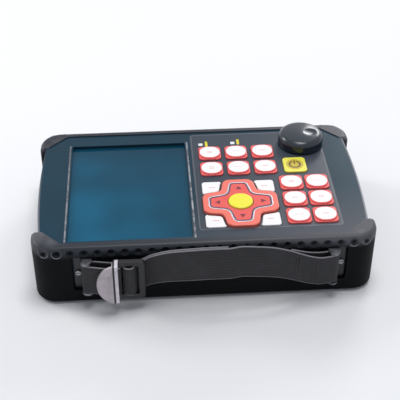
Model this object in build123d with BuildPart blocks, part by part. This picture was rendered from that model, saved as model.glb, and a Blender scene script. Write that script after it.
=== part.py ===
from build123d import *
from math import hypot
import os

os.makedirs("parts", exist_ok=True)

# A portable ultrasonic flaw detector that lies on its back, in millimetres.
# X runs along the housing, screen towards -X and keys towards +X.
# Y runs across it, hand strap towards -Y and sockets towards +Y.
# Z points out of the front panel, and zero is the table under the rubber feet.

# Housing, moulded as a deep front shell and a shallow rear shell
case_length = 240.0  # over the crowns of the bowed ends
case_width = 137.0
case_corner = 9.0
end_bow = 4.0
wall = 3.0
panel_plate = 2.5
back_plate = 3.0
panel_edge = 1.0
back_edge = 1.5
foot_height = 3.0
case_depth = 47.0
front_depth = 38.0
back_z = foot_height
panel_z = back_z + case_depth
panel_under_z = panel_z - panel_plate
back_inner_z = back_z + back_plate
seam_z = panel_z - front_depth

# Seal cord in its groove, in the rim of the rear shell
groove_inset = 0.8
groove_width = 1.5
groove_depth = 1.5
seal_fit = 0.1

# Rubber boot over both long sides, the corners and the rim of the back
boot_side = 4.5
boot_end = 6.5
boot_fit = 0.15
boot_lip = 2.0
boot_rise = 0.8
boot_under = 1.8
boot_corner = 16.0
boot_top_round = 4.0
boot_bottom_round = 2.5
guard_cut = 15.0
guard_along_end = 21.5
guard_edge = 2.0
end_sill = 11.0
boot_length = case_length - 2 * end_bow + 2 * boot_end
boot_width = case_width + 2 * boot_side
boot_top_z = panel_z + boot_rise
boot_bottom_z = back_z - boot_under
dish_margin = 18.0
dish_pitch = 9.45
dish_radius = 3.2
dish_hole = 1.7
dish_depth = 3.0
dish_drop = 3.8

# Screen: recessed window, foam gasket, display and its bracket
window_margin = 23.1  # from the housing's end
window_near_margin = 4.5  # from the housing's long sides
window_far_margin = 15.5
window_corner = 1.5
lens_overlap = 1.2
lens_thickness = 2.0
gasket_thickness = 0.8
lcd_thickness = 6.0
lcd_inset = 0.4
lcd_glass_rise = 0.5
bracket_thickness = 1.0
bracket_rim = 9.0
bracket_post_radius = 2.3
bracket_post_gap = 0.5
bracket_post_span = 80.0
trim_width = 1.2
trim_depth = 0.5
trim_gap = 1.0
trim_overrun = 1.0
trim_film_gap = 2.0

# Keypad: film, caps, silicone sheet and circuit board
film_thickness = 0.5
film_width = 104.15
film_margin = 20.25  # from the housing's end
film_near_margin = 10.5  # from the housing's long sides
film_far_margin = 4.5
film_corner = 3.0
key_gap = 0.25
key_travel = 0.8
key_skirt_rise = 1.1
key_crown_rise = 1.9
key_corner = 3.2
key_edge = 0.5
crown_inset = 0.7
crown_corner = 6.4
crown_edge = 0.6
flange_rim = 0.7
flange_thickness = 0.9
flange_gap = 0.2
under_key_gap = 0.2
mat_thickness = 1.0
keypad_board_thickness = 1.6
upper_key = 17.2
upper_pitch_x = 20.6
upper_pitch_y = 20.9
upper_columns = 3
upper_rows = 2
upper_from_film = 35.2  # columns are told from an end of the film
upper_y = 25.85
side_key = 17.5
side_pitch_x = 19.2
side_pitch_y = 20.0
side_columns = 2
side_rows = 3
side_from_film = 21.65
side_y = -25.8
power_width = 17.5
power_height = 19.0
power_from_film = 25.45
power_y = 16.7

# Direction pad with four corner keys around it and the round key in its middle
pad_from_film = 32.5
pad_y = -28.8
pad_reach = 27.5
lobe_half = 11.0
valley = 13.4
lobe_round = 6.0
valley_round = 4.5
pad_rise = 2.4
pad_thickness = 4.1
pad_edge = 0.9
pad_gap = 0.45
pad_hub_radius = 13.0
corner_key_size = 14.8
corner_key_offset = 19.5
corner_key_round = 2.4
corner_key_gap = 1.6
enter_radius = 9.0
enter_rise = 3.4
enter_edge = 1.0
enter_gap = 0.5
rocker_inner = 9.8
rocker_plate = 0.8
rocker_ridge = 0.6
rocker_gap = 0.1

# Knob on its rotary encoder
knob_from_film = 16.75
knob_from_far = 17.0
knob_radius = 17.8
knob_height = 9.2
knob_lift = 0.7
knob_edge = 4.2
knob_foot_edge = 0.6
knob_draft = 0.4
knob_hollow_radius = 9.5
knob_hollow_depth = 3.4
knob_dimple_radius = 5.5
knob_dimple_depth = 0.9
knob_dimple_offset = 7.4
shaft_radius = 3.0
shaft_fit = 0.05
shaft_reach = 8.4
shaft_root = 2.0
bush_radius = 4.5
bush_reach = 3.0
bush_fit = 0.1
encoder_size = 13.0
encoder_corner = 1.0
encoder_gap = 0.1
nut_size = 6.5
nut_height = 1.8

# Two square pilot lights above the upper keys
light_size = 3.3
light_fit = 0.1
lights_from_film = [8.3, 33.7]
lights_from_keys = [4.7, 5.5]

# Posts and screws
case_post_radius = 3.5
middle_post_radius = 2.8
case_post_margin = 13.0
case_post_side_margin = 8.5
middle_post_from_film = 0.1
middle_post_side_margin = 7.3
case_screw_radius = 1.45
case_screw_head = 2.6
case_screw_head_height = 2.2
case_screw_sink = 2.4
case_screw_length = 18.0
screw_fit = 0.1
small_screw_radius = 0.95
small_head_radius = 2.0
small_head_height = 1.3
small_screw_grip = 3.0
slot_width = 0.6
slot_depth = 0.7
board_post_radius = 2.5
board_posts_from_film = [6.4, 64.4, 99.4]
board_posts_outset_near = 1.3
board_posts_inset_far = 7.0
keypad_board_inset = 3.2
keypad_board_outset = 1.25
keypad_board_outset_near = 4.0
keypad_board_inset_far = 3.5
mat_inset = 1.0
mat_inset_near = 1.4
mat_inset_far = 17.5
mat_notch_from_film = 67.4
mat_notch_from_knob = 18.5

# Main board on standoffs of the rear shell
main_margin = 22.0
main_side_margin = 12.5
main_thickness = 1.6
standoff_top_z = 30.0
standoff_radius = 3.0
standoff_inset = 6.0
shield_x = -50.0
shield_y = 0.0
shield_length = 62.0
shield_width = 48.0
shield_height = 3.6
shield_edge = 0.6
shield_corner = 4.0
buzzer_inset = 18.0
buzzer_y = -28.0
buzzer_radius = 7.0
buzzer_height = 5.5
buzzer_hole = 1.2

# Battery in a well that opens to the back, under a screwed door
battery_x = 0.0
battery_y = 5.0
battery_length = 104.0
battery_width = 50.0
battery_height = 19.0
battery_round = 3.0
battery_gap = 0.4
well_wall = 1.5
door_lap_ends = 10.0
door_lap_sides = 4.5
door_thickness = 2.0
door_corner = 4.0
door_fit = 0.25
door_screw_inset = 4.0
door_boss_radius = 3.0
door_boss_height = 5.0

# Folding stand, a U-shaped bail round the battery door
stand_door_gap = 5.5
stand_leg = 9.0
stand_bar = 10.0
stand_thickness = 5.0
stand_pivot_y = 42.0
stand_foot_y = -41.0
stand_recess = 6.0
stand_fit = 0.5
stand_corner = 6.0
channel_wall = 2.5
channel_floor = 2.0
pin_radius = 1.5
pin_fit = 0.05
pin_reach = 2.6
thumb_radius = 11.0
thumb_depth = 4.0
foot_radius = 7.0
foot_sink = 0.8
foot_fit = 0.1
foot_margin = 23.0
foot_side_margin = 18.5
foot_edge = 0.8

# Hand strap along the near side
strap_z = 27.6
band_width = 25.0
band_thickness = 1.4
band_gap = 0.3
band_out = 13.0  # from the boot's side
anchor_left_margin = 36.0
anchor_right_margin = 30.0
anchor_plate = 2.0
anchor_plate_width = 18.0
anchor_ear = 1.8
anchor_ear_radius = 4.0
anchor_bar_radius = 2.0
anchor_bar_out = 7.5
anchor_band_gap = 0.2
anchor_screw_spread = 6.3
anchor_window_gap = 1.0
seam_start = 32.0
seam_spread = 11.0
seam_aim = 32.0
seam_aim_in = 4.0
run_left_from_buckle = 38.8
run_right_from_aim = 22.0
tail_length = 30.0
tail_clear = 4.0
bend_margin = 0.1
seam_bend = 12.0
buckle_bend = 20.0
run_bend = 60.0
buckle_out = 7.0  # from the boot's side
buckle_from_anchor = 29.2
buckle_thickness = 3.6
buckle_height = 33.0
buckle_bar = 3.4
buckle_end_bar = 4.0
buckle_slot = 5.5
buckle_corner = 2.5
tab_length = 11.0
tab_thickness = 2.0
tab_lift = 4.7
tab_rib_pitch = 2.4
tab_rib_count = 3
tab_rib_height = 0.5
tab_rib_width = 1.0

# Sockets along the far side
socket_z = 32.0
socket_sill_low = 11.0
socket_sill_high = 11.0
socket_window_x = 3.0
socket_window_length = 150.0
socket_window_corner = 4.0
probe_socket_columns = [62.0, 36.0]
data_port_x = -26.0
charge_jack_x = -56.0
socket_fit = 0.1
socket_reach = 12.0
socket_inner_reach = 7.5
socket_flange = 1.5
probe_flange_radius = 7.5
probe_body_radius = 5.9
probe_barrel_radius = 4.9
probe_bore = 3.6
probe_bore_depth = 8.0
probe_pin = 0.7
probe_lug = 1.0
probe_lug_reach = 0.9
probe_lug_back = 3.5
port_flange_radius = 8.5
port_body_radius = 7.0
port_barrel_radius = 6.9
port_height = 4.5
port_bore = 5.4
port_bore_depth = 4.0
port_pin = 0.5
port_pin_count = 6
port_pin_ring = 3.4
jack_flange_radius = 6.0
jack_body_radius = 4.5
jack_barrel_radius = 4.4
jack_height = 2.5
jack_bore = 2.9
jack_bore_depth = 6.0
jack_pin = 1.0

# Places worked out from the sizes above
film_right = case_length / 2 - film_margin
film_left = film_right - film_width
window_left = window_margin - case_length / 2
window_right = film_left - trim_film_gap - trim_width - trim_gap
window_width = window_right - window_left
window_x = (window_left + window_right) / 2
upper_x = film_left + upper_from_film
side_x = film_right - side_from_film
power_x = film_right - power_from_film
pad_x = film_left + pad_from_film
knob_x = film_right - knob_from_film
window_near = window_near_margin - case_width / 2
window_far = case_width / 2 - window_far_margin
window_height = window_far - window_near
window_y = (window_near + window_far) / 2
film_near = film_near_margin - case_width / 2
film_far = case_width / 2 - film_far_margin
knob_y = film_far - knob_from_far
upper_keys_far = upper_y + (upper_rows - 1) / 2 * upper_pitch_y + upper_key / 2
light_spots = [(film_left + x, upper_keys_far + y) for x, y in zip(lights_from_film, lights_from_keys)]
case_post_y = case_width / 2 - case_post_side_margin
middle_post_y = case_width / 2 - middle_post_side_margin
board_post_rows = [film_near - board_posts_outset_near, film_far - board_posts_inset_far]
keypad_board_near = film_near - keypad_board_outset_near
keypad_board_far = film_far - keypad_board_inset_far
mat_near = film_near + mat_inset_near
mat_far = film_far - mat_inset_far
mat_notch_y = knob_y - mat_notch_from_knob
main_width = case_width - 2 * main_side_margin
standoff_y = main_width / 2 - standoff_inset
foot_y = case_width / 2 - foot_side_margin
band_line = boot_width / 2 + band_out
buckle_line = boot_width / 2 + buckle_out
case_post_x = case_length / 2 - case_post_margin
middle_post_x = film_left + middle_post_from_film
board_post_columns = [film_left + x for x in board_posts_from_film]
keypad_board_left = film_left + keypad_board_inset
keypad_board_right = film_right - keypad_board_outset
mat_notch_x = film_left + mat_notch_from_film
main_length = case_length - 2 * main_margin
standoff_x = main_length / 2 - standoff_inset
buzzer_x = main_length / 2 - buzzer_inset
door_length = battery_length + 2 * door_lap_ends
door_width = battery_width + 2 * door_lap_sides
door_screw_x = door_length / 2 - door_screw_inset
stand_width = door_length + 2 * (stand_leg + stand_door_gap)
foot_x = case_length / 2 - foot_margin
dish_count = int((boot_length - dish_margin) / dish_pitch) + 1
anchor_left_x = anchor_left_margin - case_length / 2
anchor_right_x = case_length / 2 - anchor_right_margin
buckle_x = anchor_left_x + buckle_from_anchor
seam_aim_x = anchor_right_x - seam_aim
run_right = seam_aim_x - run_right_from_aim
run_left = buckle_x + run_left_from_buckle
tail_end = run_left + tail_length
band_reach = band_line + 1.5 * band_thickness + band_gap
tab_reach = buckle_line + tab_lift + tab_thickness + tab_rib_height
near_reach = max(band_reach, tab_reach)
far_reach = case_width / 2 + socket_reach
case_centre_y = (near_reach - far_reach) / 2
flange_top_z = panel_under_z - flange_gap
flange_bottom_z = flange_top_z - flange_thickness
mat_top_z = flange_bottom_z - key_travel - under_key_gap
mat_bottom_z = mat_top_z - mat_thickness
keypad_board_z = mat_bottom_z - keypad_board_thickness
lens_z = panel_under_z - lens_thickness
gasket_z = lens_z - gasket_thickness
lcd_z = gasket_z - lcd_thickness
bracket_z = lcd_z - bracket_thickness
channel_top_z = back_z + stand_recess + channel_floor
pin_z = back_z + stand_recess - stand_fit - stand_thickness / 2
well_length = battery_length + 2 * battery_gap
well_width = battery_width + 2 * battery_gap
battery_z = back_z + door_thickness + battery_gap
well_top_z = battery_z + battery_height + battery_gap
main_top_z = standoff_top_z + main_thickness
near_y = -case_width / 2
far_y = case_width / 2


def level(height):
    """Plane parallel to the table at a height, centred on the housing."""
    return Plane((0, case_centre_y, height))


def facing_down(height):
    """Plane at a height that looks at the table, centred on the housing."""
    return Plane((0, case_centre_y, height), x_dir=(1, 0, 0), z_dir=(0, 0, -1))


def near_side(y, height):
    """Plane that looks towards the hand strap, at a distance y from the middle."""
    return Plane((0, case_centre_y + y, height), x_dir=(1, 0, 0), z_dir=(0, -1, 0))


def far_side(x, y, height):
    """Plane that looks away from the hand strap, at x and y from the middle."""
    return Plane((x, case_centre_y + y, height), x_dir=(-1, 0, 0), z_dir=(0, 1, 0))


def case_outline(inset=0.0):
    """Outline of the housing with bowed ends, moved inwards by inset."""
    half_length = case_length / 2 - inset
    half_width = case_width / 2 - inset
    shoulder = half_length - end_bow
    with BuildSketch(Plane.XY) as outline:
        with BuildLine():
            near = Line((-shoulder, -half_width), (shoulder, -half_width))
            ThreePointArc(near @ 1, (half_length, 0), (shoulder, half_width))
            far = Line((shoulder, half_width), (-shoulder, half_width))
            ThreePointArc(far @ 1, (-half_length, 0), near @ 0)
        make_face()
        fillet(outline.vertices(), case_corner - inset)
    return outline.sketch


def pad_outline(grow=0.0):
    """Cross of the direction pad: four lobes that widen towards the middle."""
    with BuildSketch(Plane.XY) as cross:
        with BuildLine():
            Polyline(
                (pad_reach, lobe_half),
                (valley, valley),
                (lobe_half, pad_reach),
                (-lobe_half, pad_reach),
                (-valley, valley),
                (-pad_reach, lobe_half),
                (-pad_reach, -lobe_half),
                (-valley, -valley),
                (-lobe_half, -pad_reach),
                (lobe_half, -pad_reach),
                (valley, -valley),
                (pad_reach, -lobe_half),
                close=True,
            )
        make_face()
        inner = cross.vertices().filter_by(lambda v: abs(v.X) == abs(v.Y))
        fillet(inner, valley_round)
        tips = cross.vertices().filter_by(lambda v: max(abs(v.X), abs(v.Y)) == pad_reach)
        fillet(tips, lobe_round)
        if grow:
            offset(amount=grow)
    return cross.sketch


def corner_key_outline(side_x_sign, side_y_sign, grow=0.0):
    """Square key whose inner corner is cut back along the pad's edge."""
    size = corner_key_size + 2 * grow
    with BuildSketch(Plane.XY) as outline:
        with Locations((side_x_sign * corner_key_offset, side_y_sign * corner_key_offset)):
            RectangleRounded(size, size, corner_key_round + grow)
        add(pad_outline(corner_key_gap - grow), mode=Mode.SUBTRACT)
    return outline.sketch


def stand_outline(grow=0.0):
    """U of the folding stand, open towards its pivots."""
    far = stand_pivot_y + stand_thickness / 2 + grow
    near = stand_foot_y - grow
    inner_near = stand_foot_y + stand_bar + grow
    with BuildSketch(Plane.XY) as outline:
        with Locations((0, (far + near) / 2)):
            Rectangle(stand_width + 2 * grow, far - near)
        fillet(outline.vertices().group_by(Axis.Y)[0], stand_corner + grow)
        with Locations((0, (far + inner_near) / 2)):
            Rectangle(stand_width - 2 * stand_leg - 2 * grow, far - inner_near, mode=Mode.SUBTRACT)
    return outline.sketch


def screws(plane, spots, head_radius, head_height, radius, length):
    """Slotted screws with their heads on a plane and their shanks along its normal."""
    with BuildPart() as group:
        with BuildSketch(plane):
            with Locations(*spots):
                Circle(head_radius)
        extrude(amount=head_height)
        with BuildSketch(plane.offset(head_height)):
            with Locations(*spots):
                Circle(radius)
        extrude(amount=length)
        with BuildSketch(plane):
            with Locations(*spots):
                Rectangle(2 * head_radius, slot_width)
        extrude(amount=slot_depth, mode=Mode.SUBTRACT)
    return group.part


upper_keys = [
    (upper_x + (column - (upper_columns - 1) / 2) * upper_pitch_x,
     upper_y - (row - (upper_rows - 1) / 2) * upper_pitch_y)
    for row in range(upper_rows)
    for column in range(upper_columns)
]
side_keys = [
    (side_x + (column - (side_columns - 1) / 2) * side_pitch_x,
     side_y - (row - (side_rows - 1) / 2) * side_pitch_y)
    for row in range(side_rows)
    for column in range(side_columns)
]
corner_signs = [(-1, 1), (1, 1), (-1, -1), (1, -1)]
case_screw_spots = [
    (x, y)
    for x in (-case_post_x, case_post_x)
    for y in (-case_post_y, case_post_y)
]
middle_screw_spots = [(middle_post_x, -middle_post_y), (middle_post_x, middle_post_y)]
bracket_post_spots = [
    (window_x + side * (window_width / 2 + lens_overlap + bracket_post_gap + bracket_post_radius),
     window_y + end * bracket_post_span / 2)
    for side in (-1, 1)
    for end in (-1, 1)
]
board_post_spots = [(x, y) for x in board_post_columns for y in board_post_rows]
standoff_spots = [(x, y) for x in (-standoff_x, standoff_x) for y in (-standoff_y, standoff_y)]
foot_spots = [(x, y) for x in (-foot_x, foot_x) for y in (-foot_y, foot_y)]
door_screw_spots = [(battery_x - door_screw_x, battery_y), (battery_x + door_screw_x, battery_y)]
anchor_height = band_width + 2 * (anchor_ear + anchor_band_gap)
film_x = (film_left + film_right) / 2
film_y = (film_near + film_far) / 2


def key_openings(gap):
    """Every opening of the keypad, each key's own outline grown by a gap."""
    with BuildSketch(Plane.XY) as openings:
        with Locations(*upper_keys):
            RectangleRounded(upper_key + 2 * gap, upper_key + 2 * gap, key_corner + gap)
        with Locations(*side_keys):
            RectangleRounded(side_key + 2 * gap, side_key + 2 * gap, key_corner + gap)
        with Locations((power_x, power_y)):
            RectangleRounded(power_width + 2 * gap, power_height + 2 * gap, key_corner + gap)
        with Locations((pad_x, pad_y)):
            add(pad_outline(pad_gap))
            for x_sign, y_sign in corner_signs:
                add(corner_key_outline(x_sign, y_sign, gap))
        with Locations((knob_x, knob_y)):
            Circle(bush_radius + bush_fit)
        with Locations(*light_spots):
            Rectangle(light_size + 2 * light_fit, light_size + 2 * light_fit)
    return openings.sketch


def trim_strips(gap=0.0):
    """Two narrow strips beside the screen window."""
    with BuildSketch(Plane.XY) as strips:
        with Locations(
            (window_x - window_width / 2 - trim_gap - trim_width / 2, window_y),
            (window_x + window_width / 2 + trim_gap + trim_width / 2, window_y),
        ):
            Rectangle(trim_width + 2 * gap, window_height + 2 * trim_overrun + 2 * gap)
    return strips.sketch


# Front shell: deep tray with the panel, its openings and the inner posts
with BuildPart() as front_shell:
    with BuildSketch(level(seam_z)):
        add(case_outline())
    extrude(amount=front_depth)
    fillet(front_shell.faces().sort_by(Axis.Z)[-1].edges(), panel_edge)
    with BuildSketch(level(seam_z)):
        add(case_outline(wall))
    extrude(amount=panel_under_z - seam_z, mode=Mode.SUBTRACT)
    with BuildSketch(level(seam_z)):
        with Locations(*case_screw_spots):
            Circle(case_post_radius)
        with Locations(*middle_screw_spots):
            Circle(middle_post_radius)
    extrude(amount=panel_under_z - seam_z)
    with BuildSketch(level(lcd_z)):
        with Locations(*bracket_post_spots):
            Circle(bracket_post_radius)
    extrude(amount=panel_under_z - lcd_z)
    with BuildSketch(level(mat_bottom_z)):
        with Locations(*board_post_spots):
            Circle(board_post_radius)
    extrude(amount=panel_under_z - mat_bottom_z)
    with BuildSketch(level(seam_z)):
        with Locations(*case_screw_spots, *middle_screw_spots):
            Circle(case_screw_radius + screw_fit)
    extrude(amount=case_screw_length, mode=Mode.SUBTRACT)
    with BuildSketch(level(lcd_z)):
        with Locations(*bracket_post_spots):
            Circle(small_screw_radius + screw_fit)
    extrude(amount=small_screw_grip, mode=Mode.SUBTRACT)
    with BuildSketch(level(mat_bottom_z)):
        with Locations(*board_post_spots):
            Circle(small_screw_radius + screw_fit)
    extrude(amount=small_screw_grip, mode=Mode.SUBTRACT)
    with BuildSketch(level(panel_z)):
        with Locations((window_x, window_y)):
            RectangleRounded(window_width, window_height, window_corner)
        add(key_openings(key_gap))
    extrude(amount=-panel_plate, mode=Mode.SUBTRACT)
    with BuildSketch(level(panel_z)):
        with Locations((film_x, film_y)):
            RectangleRounded(film_right - film_left, film_far - film_near, film_corner)
    extrude(amount=-film_thickness, mode=Mode.SUBTRACT)
    with BuildSketch(level(panel_z)):
        add(trim_strips(seal_fit))
    extrude(amount=-trim_depth, mode=Mode.SUBTRACT)
    with BuildSketch(far_side(0, far_y, socket_z)):
        with Locations(*[(-x, 0) for x in probe_socket_columns]):
            Circle(probe_body_radius + socket_fit)
        with Locations((-data_port_x, 0)):
            Circle(port_body_radius + socket_fit)
        with Locations((-charge_jack_x, 0)):
            Circle(jack_body_radius + socket_fit)
    extrude(amount=-wall, mode=Mode.SUBTRACT)
    with BuildSketch(near_side(near_y, strap_z)):
        for anchor_x in (anchor_left_x, anchor_right_x):
            with Locations((anchor_x - anchor_screw_spread, 0), (anchor_x + anchor_screw_spread, 0)):
                Circle(case_screw_radius + screw_fit)
    extrude(amount=-wall, mode=Mode.SUBTRACT)
front_shell.part.label = "front_shell"
export_step(front_shell.part, "parts/front_shell.step")

# Rear shell: shallow tray with the stand's channel, the battery well and the standoffs
with BuildPart() as rear_shell:
    with BuildSketch(level(back_z)):
        add(case_outline())
    extrude(amount=seam_z - back_z)
    fillet(rear_shell.faces().sort_by(Axis.Z)[0].edges(), back_edge)
    with BuildSketch(level(back_inner_z)):
        add(case_outline(wall))
    extrude(amount=seam_z - back_inner_z, mode=Mode.SUBTRACT)
    with BuildSketch(level(seam_z)):
        add(case_outline(groove_inset))
        add(case_outline(groove_inset + groove_width), mode=Mode.SUBTRACT)
    extrude(amount=-groove_depth, mode=Mode.SUBTRACT)
    with BuildSketch(level(back_z)):
        add(stand_outline(stand_fit + channel_wall))
    extrude(amount=channel_top_z - back_z)
    with BuildSketch(level(back_z)):
        with Locations((battery_x, battery_y)):
            Rectangle(well_length + 2 * well_wall, well_width + 2 * well_wall)
    extrude(amount=well_top_z + well_wall - back_z)
    with BuildSketch(level(back_inner_z)):
        with Locations(*door_screw_spots):
            Circle(door_boss_radius)
    extrude(amount=door_boss_height)
    with BuildSketch(level(back_inner_z)):
        with Locations(*case_screw_spots):
            Circle(case_post_radius)
        with Locations(*middle_screw_spots):
            Circle(middle_post_radius)
    extrude(amount=seam_z - back_inner_z)
    with BuildSketch(level(back_inner_z)):
        with Locations(*standoff_spots):
            Circle(standoff_radius)
    extrude(amount=standoff_top_z - back_inner_z)
    with BuildSketch(level(back_z)):
        add(stand_outline(stand_fit))
        with Locations((0, stand_foot_y + stand_bar)):
            Circle(thumb_radius)
    extrude(amount=thumb_depth, mode=Mode.SUBTRACT)
    with BuildSketch(level(back_z)):
        add(stand_outline(stand_fit))
    extrude(amount=stand_recess, mode=Mode.SUBTRACT)
    with BuildSketch(level(back_z)):
        with Locations((battery_x, battery_y)):
            RectangleRounded(door_length + 2 * door_fit, door_width + 2 * door_fit, door_corner)
    extrude(amount=door_thickness, mode=Mode.SUBTRACT)
    with BuildSketch(level(back_z)):
        with Locations((battery_x, battery_y)):
            Rectangle(well_length, well_width)
    extrude(amount=well_top_z - back_z, mode=Mode.SUBTRACT)
    with BuildSketch(level(back_z)):
        with Locations(*case_screw_spots, *middle_screw_spots):
            Circle(case_screw_head + screw_fit)
    extrude(amount=case_screw_sink, mode=Mode.SUBTRACT)
    with BuildSketch(level(back_z)):
        with Locations(*case_screw_spots, *middle_screw_spots):
            Circle(case_screw_radius + screw_fit)
    extrude(amount=seam_z - back_z, mode=Mode.SUBTRACT)
    with BuildSketch(level(back_z)):
        with Locations(*door_screw_spots):
            Circle(small_screw_radius + screw_fit)
    extrude(amount=door_thickness + small_screw_grip + screw_fit, mode=Mode.SUBTRACT)
    with BuildSketch(level(standoff_top_z)):
        with Locations(*standoff_spots):
            Circle(small_screw_radius + screw_fit)
    extrude(amount=-small_screw_grip - screw_fit, mode=Mode.SUBTRACT)
    with BuildSketch(level(back_z)):
        with Locations(*foot_spots):
            Circle(foot_radius + foot_fit)
    extrude(amount=foot_sink, mode=Mode.SUBTRACT)
    for side in (-1, 1):
        with BuildSketch(Plane((side * stand_width / 2, case_centre_y + stand_pivot_y, pin_z),
                               z_dir=(side, 0, 0))):
            Circle(pin_radius + pin_fit)
        extrude(amount=stand_fit + channel_wall, mode=Mode.SUBTRACT)
rear_shell.part.label = "rear_shell"
export_step(rear_shell.part, "parts/rear_shell.step")

# Seal cord between the two shells
with BuildPart() as case_seal:
    with BuildSketch(level(seam_z - groove_depth)):
        add(case_outline(groove_inset + seal_fit))
        add(case_outline(groove_inset + groove_width - seal_fit), mode=Mode.SUBTRACT)
    extrude(amount=groove_depth)
case_seal.part.label = "case_seal"
export_step(case_seal.part, "parts/case_seal.step")

# Rubber boot: sleeve with rounded lips, corner guards, open ends and a row of dishes
with BuildPart() as protective_boot:
    with BuildSketch(level(boot_bottom_z)):
        RectangleRounded(boot_length, boot_width, boot_corner)
    extrude(amount=boot_top_z - boot_bottom_z)
    fillet(protective_boot.faces().sort_by(Axis.Z)[-1].edges(), boot_top_round)
    fillet(protective_boot.faces().sort_by(Axis.Z)[0].edges(), boot_bottom_round)
    with BuildSketch(level(back_z)):
        add(case_outline(-boot_fit))
    extrude(amount=case_depth, mode=Mode.SUBTRACT)
    with BuildSketch(level(boot_bottom_z)) as back_opening:
        Rectangle(
            case_length - 2 * end_bow - 2 * boot_lip,
            case_width - 2 * boot_lip,
        )
        fillet(back_opening.vertices(), case_corner)
    extrude(amount=boot_under, mode=Mode.SUBTRACT)
    with BuildSketch(level(panel_z)) as panel_opening:
        Rectangle(case_length - 2 * end_bow + 2 * boot_fit, case_width - 2 * boot_lip)
        chamfer(panel_opening.vertices(), guard_cut)
    extrude(amount=boot_rise, mode=Mode.SUBTRACT)
    with BuildSketch(level(back_z + end_sill)):
        Rectangle(boot_length, boot_width - 2 * guard_along_end)
    extrude(amount=case_depth, mode=Mode.SUBTRACT)
    fillet(
        protective_boot.edges()
        .filter_by(Axis.Z)
        .filter_by(lambda e: abs(e.center().X) > boot_length / 2 - boot_fit),
        guard_edge,
    )
    with BuildSketch(near_side(-boot_width / 2, strap_z)):
        with Locations((anchor_left_x, 0), (anchor_right_x, 0)):
            RectangleRounded(
                anchor_plate_width + 2 * anchor_window_gap,
                anchor_height + anchor_window_gap,
                anchor_window_gap,
            )
    extrude(amount=-boot_side, mode=Mode.SUBTRACT)
    with BuildSketch(far_side(socket_window_x, boot_width / 2,
                              socket_z + (socket_sill_high - socket_sill_low) / 2)):
        RectangleRounded(socket_window_length, socket_sill_low + socket_sill_high, socket_window_corner)
    extrude(amount=-boot_side, mode=Mode.SUBTRACT)
    for face_plane in (
        near_side(-boot_width / 2, panel_z - dish_drop),
        far_side(0, boot_width / 2, panel_z - dish_drop),
    ):
        with Locations(face_plane):
            with GridLocations(dish_pitch, dish_pitch, dish_count, 1):
                CounterSinkHole(dish_hole, dish_radius, depth=dish_depth)
protective_boot.part.label = "protective_boot"
export_step(protective_boot.part, "parts/protective_boot.step")

# Trim strips in their grooves beside the window
with BuildPart() as panel_trim:
    with BuildSketch(level(panel_z)):
        add(trim_strips())
    extrude(amount=-trim_depth)
panel_trim.part.label = "panel_trim"
export_step(panel_trim.part, "parts/panel_trim.step")

# Keypad film, flush with the panel, with an opening for each key
with BuildPart() as keypad_overlay:
    with BuildSketch(level(panel_z - film_thickness)):
        with Locations((film_x, film_y)):
            RectangleRounded(
                film_right - film_left - 2 * seal_fit,
                film_far - film_near - 2 * seal_fit,
                film_corner,
            )
        add(key_openings(key_gap), mode=Mode.SUBTRACT)
    extrude(amount=film_thickness)
keypad_overlay.part.label = "keypad_overlay"
export_step(keypad_overlay.part, "parts/keypad_overlay.step")

# Screen window, bonded to the underside of the panel
lens_width = window_width + 2 * lens_overlap
lens_height = window_height + 2 * lens_overlap
with BuildPart() as screen_window:
    with BuildSketch(level(lens_z)):
        with Locations((window_x, window_y)):
            RectangleRounded(lens_width, lens_height, window_corner)
    extrude(amount=lens_thickness)
screen_window.part.label = "screen_window"
export_step(screen_window.part, "parts/screen_window.step")

# Foam gasket between window and display
with BuildPart() as window_gasket:
    with BuildSketch(level(gasket_z)):
        with Locations((window_x, window_y)):
            RectangleRounded(lens_width, lens_height, window_corner)
            Rectangle(window_width, window_height, mode=Mode.SUBTRACT)
    extrude(amount=gasket_thickness)
window_gasket.part.label = "window_gasket"
export_step(window_gasket.part, "parts/window_gasket.step")

# Display module, with its glass raised inside the gasket
with BuildPart() as lcd_module:
    with BuildSketch(level(lcd_z)):
        with Locations((window_x, window_y)):
            Rectangle(lens_width - 2 * lcd_inset, lens_height - 2 * lcd_inset)
    extrude(amount=lcd_thickness)
    with BuildSketch(level(gasket_z)):
        with Locations((window_x, window_y)):
            Rectangle(window_width - 2 * lcd_inset, window_height - 2 * lcd_inset)
    extrude(amount=lcd_glass_rise)
lcd_module.part.label = "lcd_module"
export_step(lcd_module.part, "parts/lcd_module.step")

# Sheet-metal bracket that clamps the display, with four ears on the posts
with BuildPart() as lcd_bracket:
    with BuildSketch(level(bracket_z)):
        with Locations((window_x, window_y)):
            Rectangle(lens_width - 2 * lcd_inset, lens_height - 2 * lcd_inset)
            Rectangle(
                lens_width - 2 * lcd_inset - 2 * bracket_rim,
                lens_height - 2 * lcd_inset - 2 * bracket_rim,
                mode=Mode.SUBTRACT,
            )
        for post_x, post_y in bracket_post_spots:
            inward = bracket_post_radius if post_x < window_x else -bracket_post_radius
            with Locations((post_x, post_y)):
                Circle(bracket_post_radius)
            with Locations((post_x + inward, post_y)):
                Rectangle(2 * bracket_post_radius, 2 * bracket_post_radius)
        with Locations(*bracket_post_spots):
            Circle(small_screw_radius + screw_fit, mode=Mode.SUBTRACT)
    extrude(amount=bracket_thickness)
lcd_bracket.part.label = "lcd_bracket"
export_step(lcd_bracket.part, "parts/lcd_bracket.step")

lcd_screws = screws(
    level(bracket_z - small_head_height),
    bracket_post_spots,
    small_head_radius,
    small_head_height,
    small_screw_radius,
    bracket_thickness + small_screw_grip - screw_fit,
)
lcd_screws.label = "lcd_screws"
export_step(lcd_screws, "parts/lcd_screws.step")

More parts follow.
